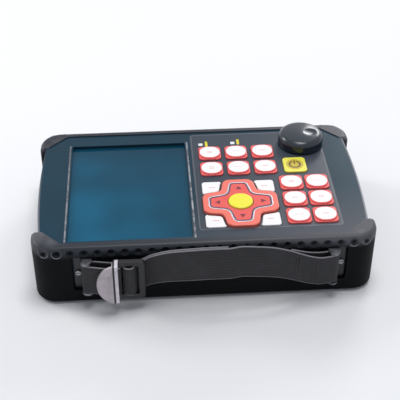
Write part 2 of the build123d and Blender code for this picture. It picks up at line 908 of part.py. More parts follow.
# Silicone sheet under the keys, cut back round the encoder
with BuildPart() as keypad_mat:
    with BuildSketch(level(mat_bottom_z)):
        with BuildLine():
            Polyline(
                (keypad_board_left + mat_inset, mat_near),
                (keypad_board_right - mat_inset, mat_near),
                (keypad_board_right - mat_inset, mat_notch_y),
                (mat_notch_x, mat_notch_y),
                (mat_notch_x, mat_far),
                (keypad_board_left + mat_inset, mat_far),
                close=True,
            )
        make_face()
    extrude(amount=mat_thickness)
keypad_mat.part.label = "keypad_mat"
export_step(keypad_mat.part, "parts/keypad_mat.step")

# Keypad circuit board, screwed to the posts of the panel
with BuildPart() as keypad_board:
    with BuildSketch(level(keypad_board_z)):
        with Locations(((keypad_board_left + keypad_board_right) / 2,
                        (keypad_board_near + keypad_board_far) / 2)):
            Rectangle(keypad_board_right - keypad_board_left, keypad_board_far - keypad_board_near)
        with Locations(*board_post_spots):
            Circle(small_screw_radius + screw_fit, mode=Mode.SUBTRACT)
    extrude(amount=keypad_board_thickness)
keypad_board.part.label = "keypad_board"
export_step(keypad_board.part, "parts/keypad_board.step")

keypad_board_screws = screws(
    level(keypad_board_z - small_head_height),
    board_post_spots,
    small_head_radius,
    small_head_height,
    small_screw_radius,
    keypad_board_thickness + small_screw_grip - screw_fit,
)
keypad_board_screws.label = "keypad_board_screws"
export_step(keypad_board_screws, "parts/keypad_board_screws.step")


def square_key(x, y, width, height, crowned):
    """Key cap with a retaining flange under the panel and, if crowned, an oval raised top."""
    top = panel_z + key_skirt_rise
    with BuildPart() as key:
        with BuildSketch(level(flange_bottom_z)):
            with Locations((x, y)):
                RectangleRounded(width + 2 * flange_rim, height + 2 * flange_rim, key_corner + flange_rim)
        extrude(amount=flange_thickness)
        with BuildSketch(level(flange_top_z)):
            with Locations((x, y)):
                RectangleRounded(width, height, key_corner)
        extrude(amount=top - flange_top_z)
        fillet(key.faces().sort_by(Axis.Z)[-1].edges(), key_edge)
        if crowned:
            with BuildSketch(level(top)):
                with Locations((x, y)):
                    RectangleRounded(width - 2 * crown_inset, height - 2 * crown_inset, crown_corner)
            extrude(amount=key_crown_rise - key_skirt_rise)
            fillet(key.faces().sort_by(Axis.Z)[-1].edges(), crown_edge)
    return key.part


# Six upper keys and six side keys, each with a raised oval top
for number, (x, y) in enumerate(upper_keys, start=1):
    upper = square_key(x, y, upper_key, upper_key, crowned=True)
    upper.label = f"upper_key_{number}"
    export_step(upper, f"parts/upper_key_{number}.step")
for number, (x, y) in enumerate(side_keys, start=1):
    side_cap = square_key(x, y, side_key, side_key, crowned=True)
    side_cap.label = f"side_key_{number}"
    export_step(side_cap, f"parts/side_key_{number}.step")

# Power key, a plain rounded square
power_key = square_key(power_x, power_y, power_width, power_height, crowned=False)
power_key.label = "power_key"
export_step(power_key, "parts/power_key.step")

# Four corner keys round the direction pad
for number, (x_sign, y_sign) in enumerate(corner_signs, start=1):
    with BuildPart() as corner_key:
        with BuildSketch(level(flange_bottom_z)):
            with Locations((pad_x, pad_y)):
                add(corner_key_outline(x_sign, y_sign, flange_rim))
        extrude(amount=flange_thickness)
        with BuildSketch(level(flange_top_z)):
            with Locations((pad_x, pad_y)):
                add(corner_key_outline(x_sign, y_sign))
        extrude(amount=panel_z + key_skirt_rise - flange_top_z)
        fillet(corner_key.faces().sort_by(Axis.Z)[-1].edges(), key_edge)
    corner_key.part.label = f"corner_key_{number}"
    export_step(corner_key.part, f"parts/corner_key_{number}.step")

# Round key in the middle of the pad
with BuildPart() as enter_key:
    with BuildSketch(level(flange_bottom_z)):
        with Locations((pad_x, pad_y)):
            Circle(enter_radius)
    extrude(amount=panel_z + enter_rise - flange_bottom_z)
    fillet(enter_key.faces().sort_by(Axis.Z)[-1].edges(), enter_edge)
enter_key.part.label = "enter_key"
export_step(enter_key.part, "parts/enter_key.step")

# Rocker ring: lower ridges across it let it tip left and right on the sheet,
# upper ridges along it let the pad tip up and down on it
ring_bottom_z = mat_top_z + rocker_gap + rocker_ridge
ring_top_z = ring_bottom_z + rocker_plate
tip_along_z = ring_top_z + rocker_ridge
ridge_length = pad_hub_radius - rocker_inner
ridge_middle = (pad_hub_radius + rocker_inner) / 2
with BuildPart() as rocker_ring:
    with BuildSketch(level(ring_bottom_z)):
        with Locations((pad_x, pad_y)):
            Circle(pad_hub_radius)
            Circle(rocker_inner, mode=Mode.SUBTRACT)
    extrude(amount=rocker_plate)
    for side in (-1, 1):
        with Locations((pad_x + side * ridge_middle, case_centre_y + pad_y, ring_top_z)):
            Cylinder(rocker_ridge, ridge_length - rocker_gap, rotation=(0, 90, 0))
        with Locations((pad_x, case_centre_y + pad_y + side * ridge_middle, ring_bottom_z)):
            Cylinder(rocker_ridge, ridge_length - rocker_gap, rotation=(90, 0, 0))
rocker_ring.part.label = "rocker_ring"
export_step(rocker_ring.part, "parts/rocker_ring.step")

# Direction pad with its hub, which bears on the ring
pad_bottom_z = panel_z + pad_rise - pad_thickness
hub_bottom_z = tip_along_z + rocker_gap
with BuildPart() as direction_pad:
    with BuildSketch(level(pad_bottom_z)):
        with Locations((pad_x, pad_y)):
            add(pad_outline())
    extrude(amount=pad_thickness)
    fillet(direction_pad.faces().sort_by(Axis.Z)[-1].edges(), pad_edge)
    with BuildSketch(level(hub_bottom_z)):
        with Locations((pad_x, pad_y)):
            Circle(pad_hub_radius)
    extrude(amount=pad_bottom_z - hub_bottom_z)
    with BuildSketch(level(hub_bottom_z)):
        with Locations((pad_x, pad_y)):
            Circle(enter_radius + enter_gap)
    extrude(amount=panel_z + pad_rise - hub_bottom_z, mode=Mode.SUBTRACT)
direction_pad.part.label = "direction_pad"
export_step(direction_pad.part, "parts/direction_pad.step")

# Two light pipes that stand on the keypad board
with BuildPart() as pilot_lights:
    with BuildSketch(level(mat_bottom_z)):
        with Locations(*light_spots):
            Rectangle(light_size, light_size)
    extrude(amount=panel_z - mat_bottom_z)
pilot_lights.part.label = "pilot_lights"
export_step(pilot_lights.part, "parts/pilot_lights.step")

# Rotary encoder: body on the board, threaded bush through the panel
bush_top_z = panel_z + bush_reach
with BuildPart() as rotary_encoder:
    with BuildSketch(level(mat_bottom_z)):
        with Locations((knob_x, knob_y)):
            RectangleRounded(encoder_size, encoder_size, encoder_corner)
    extrude(amount=panel_under_z - encoder_gap - mat_bottom_z)
    with BuildSketch(level(panel_under_z - encoder_gap)):
        with Locations((knob_x, knob_y)):
            Circle(bush_radius)
    extrude(amount=bush_top_z - panel_under_z + encoder_gap)
    with BuildSketch(level(bush_top_z)):
        with Locations((knob_x, knob_y)):
            Circle(shaft_radius + shaft_fit)
    extrude(amount=mat_bottom_z + encoder_gap - bush_top_z, mode=Mode.SUBTRACT)
rotary_encoder.part.label = "rotary_encoder"
export_step(rotary_encoder.part, "parts/rotary_encoder.step")

# Nut that clamps the bush to the panel
with BuildPart() as encoder_nut:
    with BuildSketch(level(panel_z)):
        with Locations((knob_x, knob_y)):
            RegularPolygon(nut_size, 6, major_radius=False)
            Circle(bush_radius + shaft_fit, mode=Mode.SUBTRACT)
    extrude(amount=nut_height)
encoder_nut.part.label = "encoder_nut"
export_step(encoder_nut.part, "parts/encoder_nut.step")

# Encoder shaft, which turns with the knob
with BuildPart() as encoder_shaft:
    with BuildSketch(level(mat_bottom_z + shaft_root)):
        with Locations((knob_x, knob_y)):
            Circle(shaft_radius)
    extrude(amount=panel_z + shaft_reach - mat_bottom_z - shaft_root)
encoder_shaft.part.label = "encoder_shaft"
export_step(encoder_shaft.part, "parts/encoder_shaft.step")

# Knob: drafted side, rounded edge, finger dimple and a hollow over the nut
with BuildPart() as adjust_knob:
    with BuildSketch(Plane((knob_x, case_centre_y + knob_y, panel_z), x_dir=(1, 0, 0), z_dir=(0, -1, 0))):
        with BuildLine():
            Polyline(
                (0, knob_lift),
                (knob_radius, knob_lift),
                (knob_radius - knob_draft, knob_lift + knob_height),
                (0, knob_lift + knob_height),
                close=True,
            )
        make_face()
    revolve(axis=Axis((knob_x, case_centre_y + knob_y, 0), (0, 0, 1)))
    fillet(adjust_knob.edges().group_by(Axis.Z)[-1], knob_edge)
    fillet(adjust_knob.edges().group_by(Axis.Z)[0], knob_foot_edge)
    with BuildSketch(level(panel_z + knob_lift)):
        with Locations((knob_x, knob_y)):
            Circle(knob_hollow_radius)
    extrude(amount=knob_hollow_depth, mode=Mode.SUBTRACT)
    with BuildSketch(level(panel_z + knob_lift)):
        with Locations((knob_x, knob_y)):
            Circle(shaft_radius + shaft_fit)
    extrude(amount=shaft_reach - knob_lift + shaft_fit, mode=Mode.SUBTRACT)
    dimple_sphere = (knob_dimple_radius ** 2 + knob_dimple_depth ** 2) / (2 * knob_dimple_depth)
    with Locations((
        knob_x + knob_dimple_offset,
        case_centre_y + knob_y,
        panel_z + knob_lift + knob_height - knob_dimple_depth + dimple_sphere,
    )):
        Sphere(dimple_sphere, mode=Mode.SUBTRACT)
adjust_knob.part.label = "adjust_knob"
export_step(adjust_knob.part, "parts/adjust_knob.step")

# Main circuit board with its shield can and the buzzer under it
with BuildPart() as main_board:
    with BuildSketch(level(standoff_top_z)):
        Rectangle(main_length, main_width)
        with Locations(*standoff_spots):
            Circle(small_screw_radius + screw_fit, mode=Mode.SUBTRACT)
    extrude(amount=main_thickness)
main_board.part.label = "main_board"
export_step(main_board.part, "parts/main_board.step")

with BuildPart() as board_shield:
    with BuildSketch(level(main_top_z)):
        with Locations((shield_x, shield_y)):
            RectangleRounded(shield_length, shield_width, shield_corner)
    extrude(amount=shield_height)
    fillet(board_shield.faces().sort_by(Axis.Z)[-1].edges(), shield_edge)
board_shield.part.label = "board_shield"
export_step(board_shield.part, "parts/board_shield.step")

with BuildPart() as buzzer:
    with BuildSketch(facing_down(standoff_top_z)):
        with Locations((buzzer_x, -buzzer_y)):
            Circle(buzzer_radius)
    extrude(amount=buzzer_height)
    with BuildSketch(facing_down(standoff_top_z - buzzer_height)):
        with Locations((buzzer_x, -buzzer_y)):
            Circle(buzzer_hole)
    extrude(amount=-buzzer_hole, mode=Mode.SUBTRACT)
buzzer.part.label = "buzzer"
export_step(buzzer.part, "parts/buzzer.step")

main_board_screws = screws(
    facing_down(main_top_z + small_head_height),
    standoff_spots,
    small_head_radius,
    small_head_height,
    small_screw_radius,
    main_thickness + small_screw_grip,
)
main_board_screws.label = "main_board_screws"
export_step(main_board_screws, "parts/main_board_screws.step")

case_screws = screws(
    level(back_z + case_screw_sink - case_screw_head_height),
    case_screw_spots + middle_screw_spots,
    case_screw_head,
    case_screw_head_height,
    case_screw_radius,
    case_screw_length,
)
case_screws.label = "case_screws"
export_step(case_screws, "parts/case_screws.step")

# Battery pack in the well
with BuildPart() as battery_pack:
    with BuildSketch(level(battery_z)):
        with Locations((battery_x, battery_y)):
            Rectangle(battery_length, battery_width)
    extrude(amount=battery_height)
    fillet(battery_pack.edges().filter_by(Axis.X), battery_round)
battery_pack.part.label = "battery_pack"
export_step(battery_pack.part, "parts/battery_pack.step")

# Battery door, flush with the back
with BuildPart() as battery_door:
    with BuildSketch(level(back_z)):
        with Locations((battery_x, battery_y)):
            RectangleRounded(door_length, door_width, door_corner - door_fit)
    extrude(amount=door_thickness)
    with BuildSketch(level(back_z)):
        with Locations(*door_screw_spots):
            Circle(small_head_radius + screw_fit)
    extrude(amount=small_head_height, mode=Mode.SUBTRACT)
    with BuildSketch(level(back_z)):
        with Locations(*door_screw_spots):
            Circle(small_screw_radius + screw_fit)
    extrude(amount=door_thickness, mode=Mode.SUBTRACT)
battery_door.part.label = "battery_door"
export_step(battery_door.part, "parts/battery_door.step")

battery_door_screws = screws(
    level(back_z),
    door_screw_spots,
    small_head_radius,
    small_head_height,
    small_screw_radius,
    door_thickness - small_head_height + small_screw_grip,
)
battery_door_screws.label = "battery_door_screws"
export_step(battery_door_screws, "parts/battery_door_screws.step")

# Folding stand with its two pivot pins
with BuildPart() as tilt_stand:
    with BuildSketch(level(pin_z - stand_thickness / 2)):
        add(stand_outline())
    extrude(amount=stand_thickness)
    pivot_ends = tilt_stand.faces().sort_by(Axis.Y)[-2:].edges().filter_by(Axis.X)
    fillet(pivot_ends, stand_thickness / 2 - pin_fit)
    for side in (-1, 1):
        with BuildSketch(Plane((side * stand_width / 2, case_centre_y + stand_pivot_y, pin_z),
                               z_dir=(side, 0, 0))):
            Circle(pin_radius)
        extrude(amount=pin_reach)
tilt_stand.part.label = "tilt_stand"
export_step(tilt_stand.part, "parts/tilt_stand.step")

# Four rubber feet
with BuildPart() as rubber_feet:
    with BuildSketch(level(0)):
        with Locations(*foot_spots):
            Circle(foot_radius)
    extrude(amount=foot_height + foot_sink)
    fillet(rubber_feet.edges().group_by(Axis.Z)[0], foot_edge)
rubber_feet.part.label = "rubber_feet"
export_step(rubber_feet.part, "parts/rubber_feet.step")

# Strap anchors: base plate, two ears and the bar that the webbing goes round
bar_y = near_y - anchor_bar_out
for name, anchor_x in (("left", anchor_left_x), ("right", anchor_right_x)):
    low_z = strap_z - anchor_height / 2
    with BuildPart() as strap_anchor:
        with BuildSketch(level(low_z)):
            with Locations((anchor_x, near_y - anchor_plate / 2)):
                Rectangle(anchor_plate_width, anchor_plate)
        extrude(amount=anchor_height)
        for ear_z in (low_z, low_z + anchor_height - anchor_ear):
            with BuildSketch(level(ear_z)):
                with Locations((anchor_x, bar_y)):
                    Circle(anchor_ear_radius)
                with Locations((anchor_x, (bar_y + near_y - anchor_plate) / 2)):
                    Rectangle(2 * anchor_ear_radius, anchor_bar_out - anchor_plate)
            extrude(amount=anchor_ear)
        with BuildSketch(level(low_z)):
            with Locations((anchor_x, bar_y)):
                Circle(anchor_bar_radius)
        extrude(amount=anchor_height)
        with BuildSketch(near_side(near_y - anchor_plate, strap_z)):
            with Locations((anchor_x - anchor_screw_spread, 0), (anchor_x + anchor_screw_spread, 0)):
                Circle(case_screw_radius + screw_fit)
        extrude(amount=-anchor_plate, mode=Mode.SUBTRACT)
    strap_anchor.part.label = f"strap_anchor_{name}"
    export_step(strap_anchor.part, f"parts/strap_anchor_{name}.step")

anchor_screw_plane = Plane(
    (0, case_centre_y + near_y - anchor_plate - small_head_height, strap_z),
    x_dir=(1, 0, 0),
    z_dir=(0, 1, 0),
)
anchor_screws = screws(
    anchor_screw_plane,
    [
        (anchor_x + side * anchor_screw_spread, 0)
        for anchor_x in (anchor_left_x, anchor_right_x)
        for side in (-1, 1)
    ],
    small_head_radius,
    small_head_height,
    case_screw_radius,
    anchor_plate + wall,
)
anchor_screws.label = "anchor_screws"
export_step(anchor_screws, "parts/anchor_screws.step")

# Buckle: ladder frame with a crossbar and a ribbed thumb tab in front of the loop
frame_left = -buckle_bar / 2 - buckle_slot - buckle_end_bar
frame_right = buckle_bar / 2 + buckle_slot + buckle_end_bar
loop_bar_x = buckle_x + frame_left + buckle_end_bar / 2
slot_height = band_width + 2 * band_gap
rail = (buckle_height - slot_height) / 2
with BuildPart() as strap_buckle:
    with BuildSketch(near_side(-buckle_line + buckle_thickness / 2, strap_z)):
        with Locations((buckle_x, 0)):
            RectangleRounded(frame_right - frame_left, buckle_height, buckle_corner)
        with Locations(
            (buckle_x - (buckle_bar + buckle_slot) / 2, 0),
            (buckle_x + (buckle_bar + buckle_slot) / 2, 0),
        ):
            Rectangle(buckle_slot, slot_height, mode=Mode.SUBTRACT)
    extrude(amount=buckle_thickness)
    with BuildSketch(near_side(-buckle_line - buckle_thickness / 2, strap_z)):
        with Locations(
            (loop_bar_x, (buckle_height - rail) / 2),
            (loop_bar_x, -(buckle_height - rail) / 2),
        ):
            Rectangle(buckle_end_bar, rail)
    extrude(amount=tab_lift + tab_thickness - buckle_thickness / 2)
    with BuildSketch(near_side(-buckle_line - tab_lift, strap_z)):
        with BuildLine():
            root_x = loop_bar_x + buckle_end_bar / 2
            Line((root_x, buckle_height / 2), (root_x, -buckle_height / 2))
            Line((root_x, -buckle_height / 2), (loop_bar_x, -buckle_height / 2))
            EllipticalCenterArc(
                (loop_bar_x, 0), tab_length + buckle_end_bar / 2, buckle_height / 2,
                start_angle=90, arc_size=180,
            )
            Line((loop_bar_x, buckle_height / 2), (root_x, buckle_height / 2))
        make_face()
    extrude(amount=tab_thickness)
    with BuildSketch(near_side(-buckle_line - tab_lift - tab_thickness, strap_z)):
        for rib in range(tab_rib_count):
            with Locations((loop_bar_x - rib * tab_rib_pitch, 0)):
                Rectangle(tab_rib_width, band_width - rib * tab_rib_pitch * 2)
    extrude(amount=tab_rib_height)
strap_buckle.part.label = "strap_buckle"
export_step(strap_buckle.part, "parts/strap_buckle.step")

# Short loop of webbing between the left anchor and the buckle
loop_radius = anchor_bar_radius + anchor_band_gap + band_thickness / 2
loop_end_radius = hypot(buckle_end_bar, buckle_thickness) / 2 + anchor_band_gap + band_thickness / 2
loop_start = Vector(anchor_left_x, bar_y)
loop_end = Vector(loop_bar_x, -buckle_line)
loop_way = (loop_end - loop_start).normalized()
loop_side = Vector(-loop_way.Y, loop_way.X)
with BuildPart() as strap_loop:
    with BuildSketch(level(strap_z - band_width / 2)):
        for grow, how in ((band_thickness / 2, Mode.ADD), (-band_thickness / 2, Mode.SUBTRACT)):
            near_ring = loop_radius + grow
            far_ring = loop_end_radius + grow
            with Locations((loop_start.X, loop_start.Y)):
                Circle(near_ring, mode=how)
            with Locations((loop_end.X, loop_end.Y)):
                Circle(far_ring, mode=how)
            with BuildLine():
                Polyline(
                    (loop_start + loop_side * near_ring),
                    (loop_end + loop_side * far_ring),
                    (loop_end - loop_side * far_ring),
                    (loop_start - loop_side * near_ring),
                    close=True,
                )
            make_face(mode=how)
    extrude(amount=band_width)
strap_loop.part.label = "strap_loop"
export_step(strap_loop.part, "parts/strap_loop.step")

# Long webbing: sewn round the right anchor's bar, run along the side,
# turned round the buckle's crossbar and laid back along itself
layer = band_thickness + band_gap
right_bar = Vector(anchor_right_x, bar_y)
right_aim = Vector(seam_aim_x, -band_line + seam_aim_in)
right_way = (right_aim - right_bar).normalized()
right_side = Vector(-right_way.Y, right_way.X)
turn_half = hypot(buckle_bar, buckle_thickness) / 2 + anchor_band_gap + band_thickness / 2
turn_x = buckle_x - turn_half
tail_lift_x = buckle_x + frame_right + tail_clear
eye_bend = loop_radius - bend_margin
turn_bend = turn_half - bend_margin
band_route = [
    right_bar + right_way * seam_start - right_side * (layer / 2),
    right_bar + right_way * seam_spread - right_side * loop_radius,
    right_bar - right_way * loop_radius - right_side * loop_radius,
    right_bar - right_way * loop_radius + right_side * loop_radius,
    right_bar + right_way * seam_spread + right_side * loop_radius,
    right_bar + right_way * seam_start + right_side * (layer / 2),
    Vector(run_right, -band_line),
    Vector(run_left, -band_line),
    Vector(tail_lift_x, -buckle_line + turn_half),
    Vector(turn_x, -buckle_line + turn_half),
    Vector(turn_x, -buckle_line - turn_half),
    Vector(tail_lift_x, -buckle_line - turn_half),
    Vector(run_left, -band_line - layer),
    Vector(tail_end, -band_line - layer),
]
band_bends = [seam_bend, eye_bend, eye_bend, seam_bend, run_bend, run_bend, run_bend, buckle_bend,
              turn_bend, turn_bend, buckle_bend, run_bend]
with BuildPart() as strap_webbing:
    with BuildSketch(level(strap_z - band_width / 2)):
        with BuildLine():
            FilletPolyline(*[(p.X, p.Y) for p in band_route], radius=band_bends)
        trace(line_width=band_thickness)
    extrude(amount=band_width)
strap_webbing.part.label = "strap_webbing"
export_step(strap_webbing.part, "parts/strap_webbing.step")


def round_socket(x, flange_radius, body_radius, barrel_radius, height, bore, bore_depth):
    """Socket through the far wall: inner body, flange, outer barrel and its bore."""
    with BuildPart() as socket:
        with BuildSketch(far_side(x, far_y - wall - socket_inner_reach, socket_z)):
            Circle(body_radius)
        extrude(amount=wall + socket_inner_reach)
        with BuildSketch(far_side(x, far_y, socket_z)):
            Circle(flange_radius)
        extrude(amount=socket_flange)
        with BuildSketch(far_side(x, far_y + socket_flange, socket_z)):
            Circle(barrel_radius)
        extrude(amount=height)
        with BuildSketch(far_side(x, far_y + socket_flange + height, socket_z)):
            Circle(bore)
        extrude(amount=-bore_depth, mode=Mode.SUBTRACT)
    return socket


# Two probe sockets with bayonet lugs and a centre pin
for number, socket_x in enumerate(probe_socket_columns, start=1):
    barrel = socket_reach - socket_flange
    with BuildPart() as probe_socket:
        add(round_socket(
            socket_x, probe_flange_radius, probe_body_radius, probe_barrel_radius, barrel, probe_bore,
            probe_bore_depth,
        ).part)
        with BuildSketch(far_side(socket_x, far_y + socket_reach - probe_bore_depth, socket_z)):
            Circle(probe_pin)
        extrude(amount=probe_bore_depth - probe_lug)
        for side in (-1, 1):
            lug_plane = Plane(
                (socket_x, case_centre_y + far_y + socket_reach - probe_lug_back, socket_z),
                z_dir=(0, 0, side),
            )
            with BuildSketch(lug_plane.offset(probe_bore + probe_lug / 2)):
                Circle(probe_lug)
            extrude(amount=probe_lug_reach + probe_lug)
    probe_socket.part.label = f"probe_socket_{number}"
    export_step(probe_socket.part, f"parts/probe_socket_{number}.step")

# Round data port with a ring of pins
with BuildPart() as data_port:
    add(round_socket(
        data_port_x, port_flange_radius, port_body_radius, port_barrel_radius, port_height, port_bore,
        port_bore_depth,
    ).part)
    with BuildSketch(far_side(data_port_x, far_y + socket_flange + port_height - port_bore_depth, socket_z)):
        with PolarLocations(port_pin_ring, port_pin_count):
            Circle(port_pin)
    extrude(amount=port_bore_depth - port_pin)
data_port.part.label = "data_port"
export_step(data_port.part, "parts/data_port.step")

# Charging jack with its centre pin
with BuildPart() as charge_jack:
    add(round_socket(
        charge_jack_x, jack_flange_radius, jack_body_radius, jack_barrel_radius, jack_height, jack_bore,
        jack_bore_depth,
    ).part)
    bore_end_y = far_y + socket_flange + jack_height - jack_bore_depth
    with BuildSketch(far_side(charge_jack_x, bore_end_y, socket_z)):
        Circle(jack_pin)
    extrude(amount=jack_bore_depth - jack_pin)
charge_jack.part.label = "charge_jack"
export_step(charge_jack.part, "parts/charge_jack.step")
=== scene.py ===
"""Looks of a portable ultrasonic flaw detector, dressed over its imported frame.

All lengths are in metres in the frame's own axes unless a name or a docstring says otherwise.
"""

import logging
import math
from dataclasses import dataclass
from enum import Enum
from typing import Sequence, Union

import bpy
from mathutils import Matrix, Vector


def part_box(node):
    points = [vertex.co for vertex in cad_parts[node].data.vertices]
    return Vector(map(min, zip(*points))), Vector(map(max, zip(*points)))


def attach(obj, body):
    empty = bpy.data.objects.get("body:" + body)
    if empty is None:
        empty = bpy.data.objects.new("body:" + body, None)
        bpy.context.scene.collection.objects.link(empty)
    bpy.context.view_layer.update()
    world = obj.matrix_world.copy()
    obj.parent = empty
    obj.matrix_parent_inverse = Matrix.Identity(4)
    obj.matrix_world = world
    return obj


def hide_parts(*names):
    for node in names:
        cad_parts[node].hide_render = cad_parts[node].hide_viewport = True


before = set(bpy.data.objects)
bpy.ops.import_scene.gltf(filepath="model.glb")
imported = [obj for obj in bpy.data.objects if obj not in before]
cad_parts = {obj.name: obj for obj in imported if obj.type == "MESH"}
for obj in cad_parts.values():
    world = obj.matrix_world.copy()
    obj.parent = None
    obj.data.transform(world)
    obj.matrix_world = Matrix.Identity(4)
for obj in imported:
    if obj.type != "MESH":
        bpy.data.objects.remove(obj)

log = logging.getLogger("flaw_detector")
MM = 0.001


@dataclass(frozen=True)
class Colour:
    """A colour as it is seen on a screen, each part from 0 to 255."""

    red: float
    green: float
    blue: float

    @staticmethod
    def _linear(part: float) -> float:
        """Turns one screen value into light."""
        share = part / 255
        return share / 12.92 if share <= 0.04045 else ((share + 0.055) / 1.055) ** 2.4

    @property
    def light(self) -> tuple[float, float, float, float]:
        """The colour as linear light, with full alpha."""
        return (*(self._linear(p) for p in (self.red, self.green, self.blue)), 1.0)


DUST = Colour(150, 150, 152)
Pair = tuple[float, float]
Triple = tuple[float, float, float]
Number = Union[float, "Value"]
Setting = Union[float, str, bool, Colour, tuple, "Value"]


class Value:
    """A socket of a node; Python operators on it add Math nodes."""

    def __init__(self, graph: "Graph", socket: bpy.types.NodeSocket) -> None:
        """Keeps the socket and the graph that it belongs to."""
        self.graph = graph
        self.socket = socket

    def maths(self, operation: str, *terms: Number) -> "Value":
        """The result of one Math node on the terms, in order."""
        return self.graph.node("ShaderNodeMath", {"operation": operation}, dict(enumerate(terms)))

    def __add__(self, other: Number) -> "Value":
        """Sum."""
        return self.maths("ADD", self, other)

    def __radd__(self, other: Number) -> "Value":
        """Sum with a plain number first."""
        return self.maths("ADD", other, self)

    def __sub__(self, other: Number) -> "Value":
        """Difference."""
        return self.maths("SUBTRACT", self, other)

    def __rsub__(self, other: Number) -> "Value":
        """Difference from a plain number."""
        return self.maths("SUBTRACT", other, self)

    def __mul__(self, other: Number) -> "Value":
        """Product."""
        return self.maths("MULTIPLY", self, other)

    def __rmul__(self, other: Number) -> "Value":
        """Product with a plain number first."""
        return self.maths("MULTIPLY", other, self)

    def __truediv__(self, other: Number) -> "Value":
        """Quotient."""
        return self.maths("DIVIDE", self, other)

    def __pow__(self, other: Number) -> "Value":
        """Power."""
        return self.maths("POWER", self, other)

    def __abs__(self) -> "Value":
        """Absolute value."""
        return self.maths("ABSOLUTE", self)

    def also(self, output: Union[int, str]) -> "Value":
        """Another output of the same node."""
        return Value(self.graph, self.socket.node.outputs[output])

    def root(self) -> "Value":
        """Square root."""
        return self.maths("SQRT", self)

    def sine(self) -> "Value":
        """Sine of an angle in radians."""
        return self.maths("SINE", self)

    def least(self, other: Number) -> "Value":
        """The smaller of two."""
        return self.maths("MINIMUM", self, other)

    def most(self, other: Number) -> "Value":
        """The larger of two."""
        return self.maths("MAXIMUM", self, other)

    def fade(self, start: float, end: float) -> "Value":
        """A mask that runs smoothly between two values.

        Args:
            start: Where it is 0.
            end: Where it is 1.

        Returns:
            The mask.
        """
        low, high, first, last = (start, end, 0.0, 1.0) if start < end else (end, start, 1.0, 0.0)
        places = {0: self, 1: low, 2: high, 3: first, 4: last}
        return self.graph.node("ShaderNodeMapRange", {"interpolation_type": "SMOOTHSTEP"}, places)


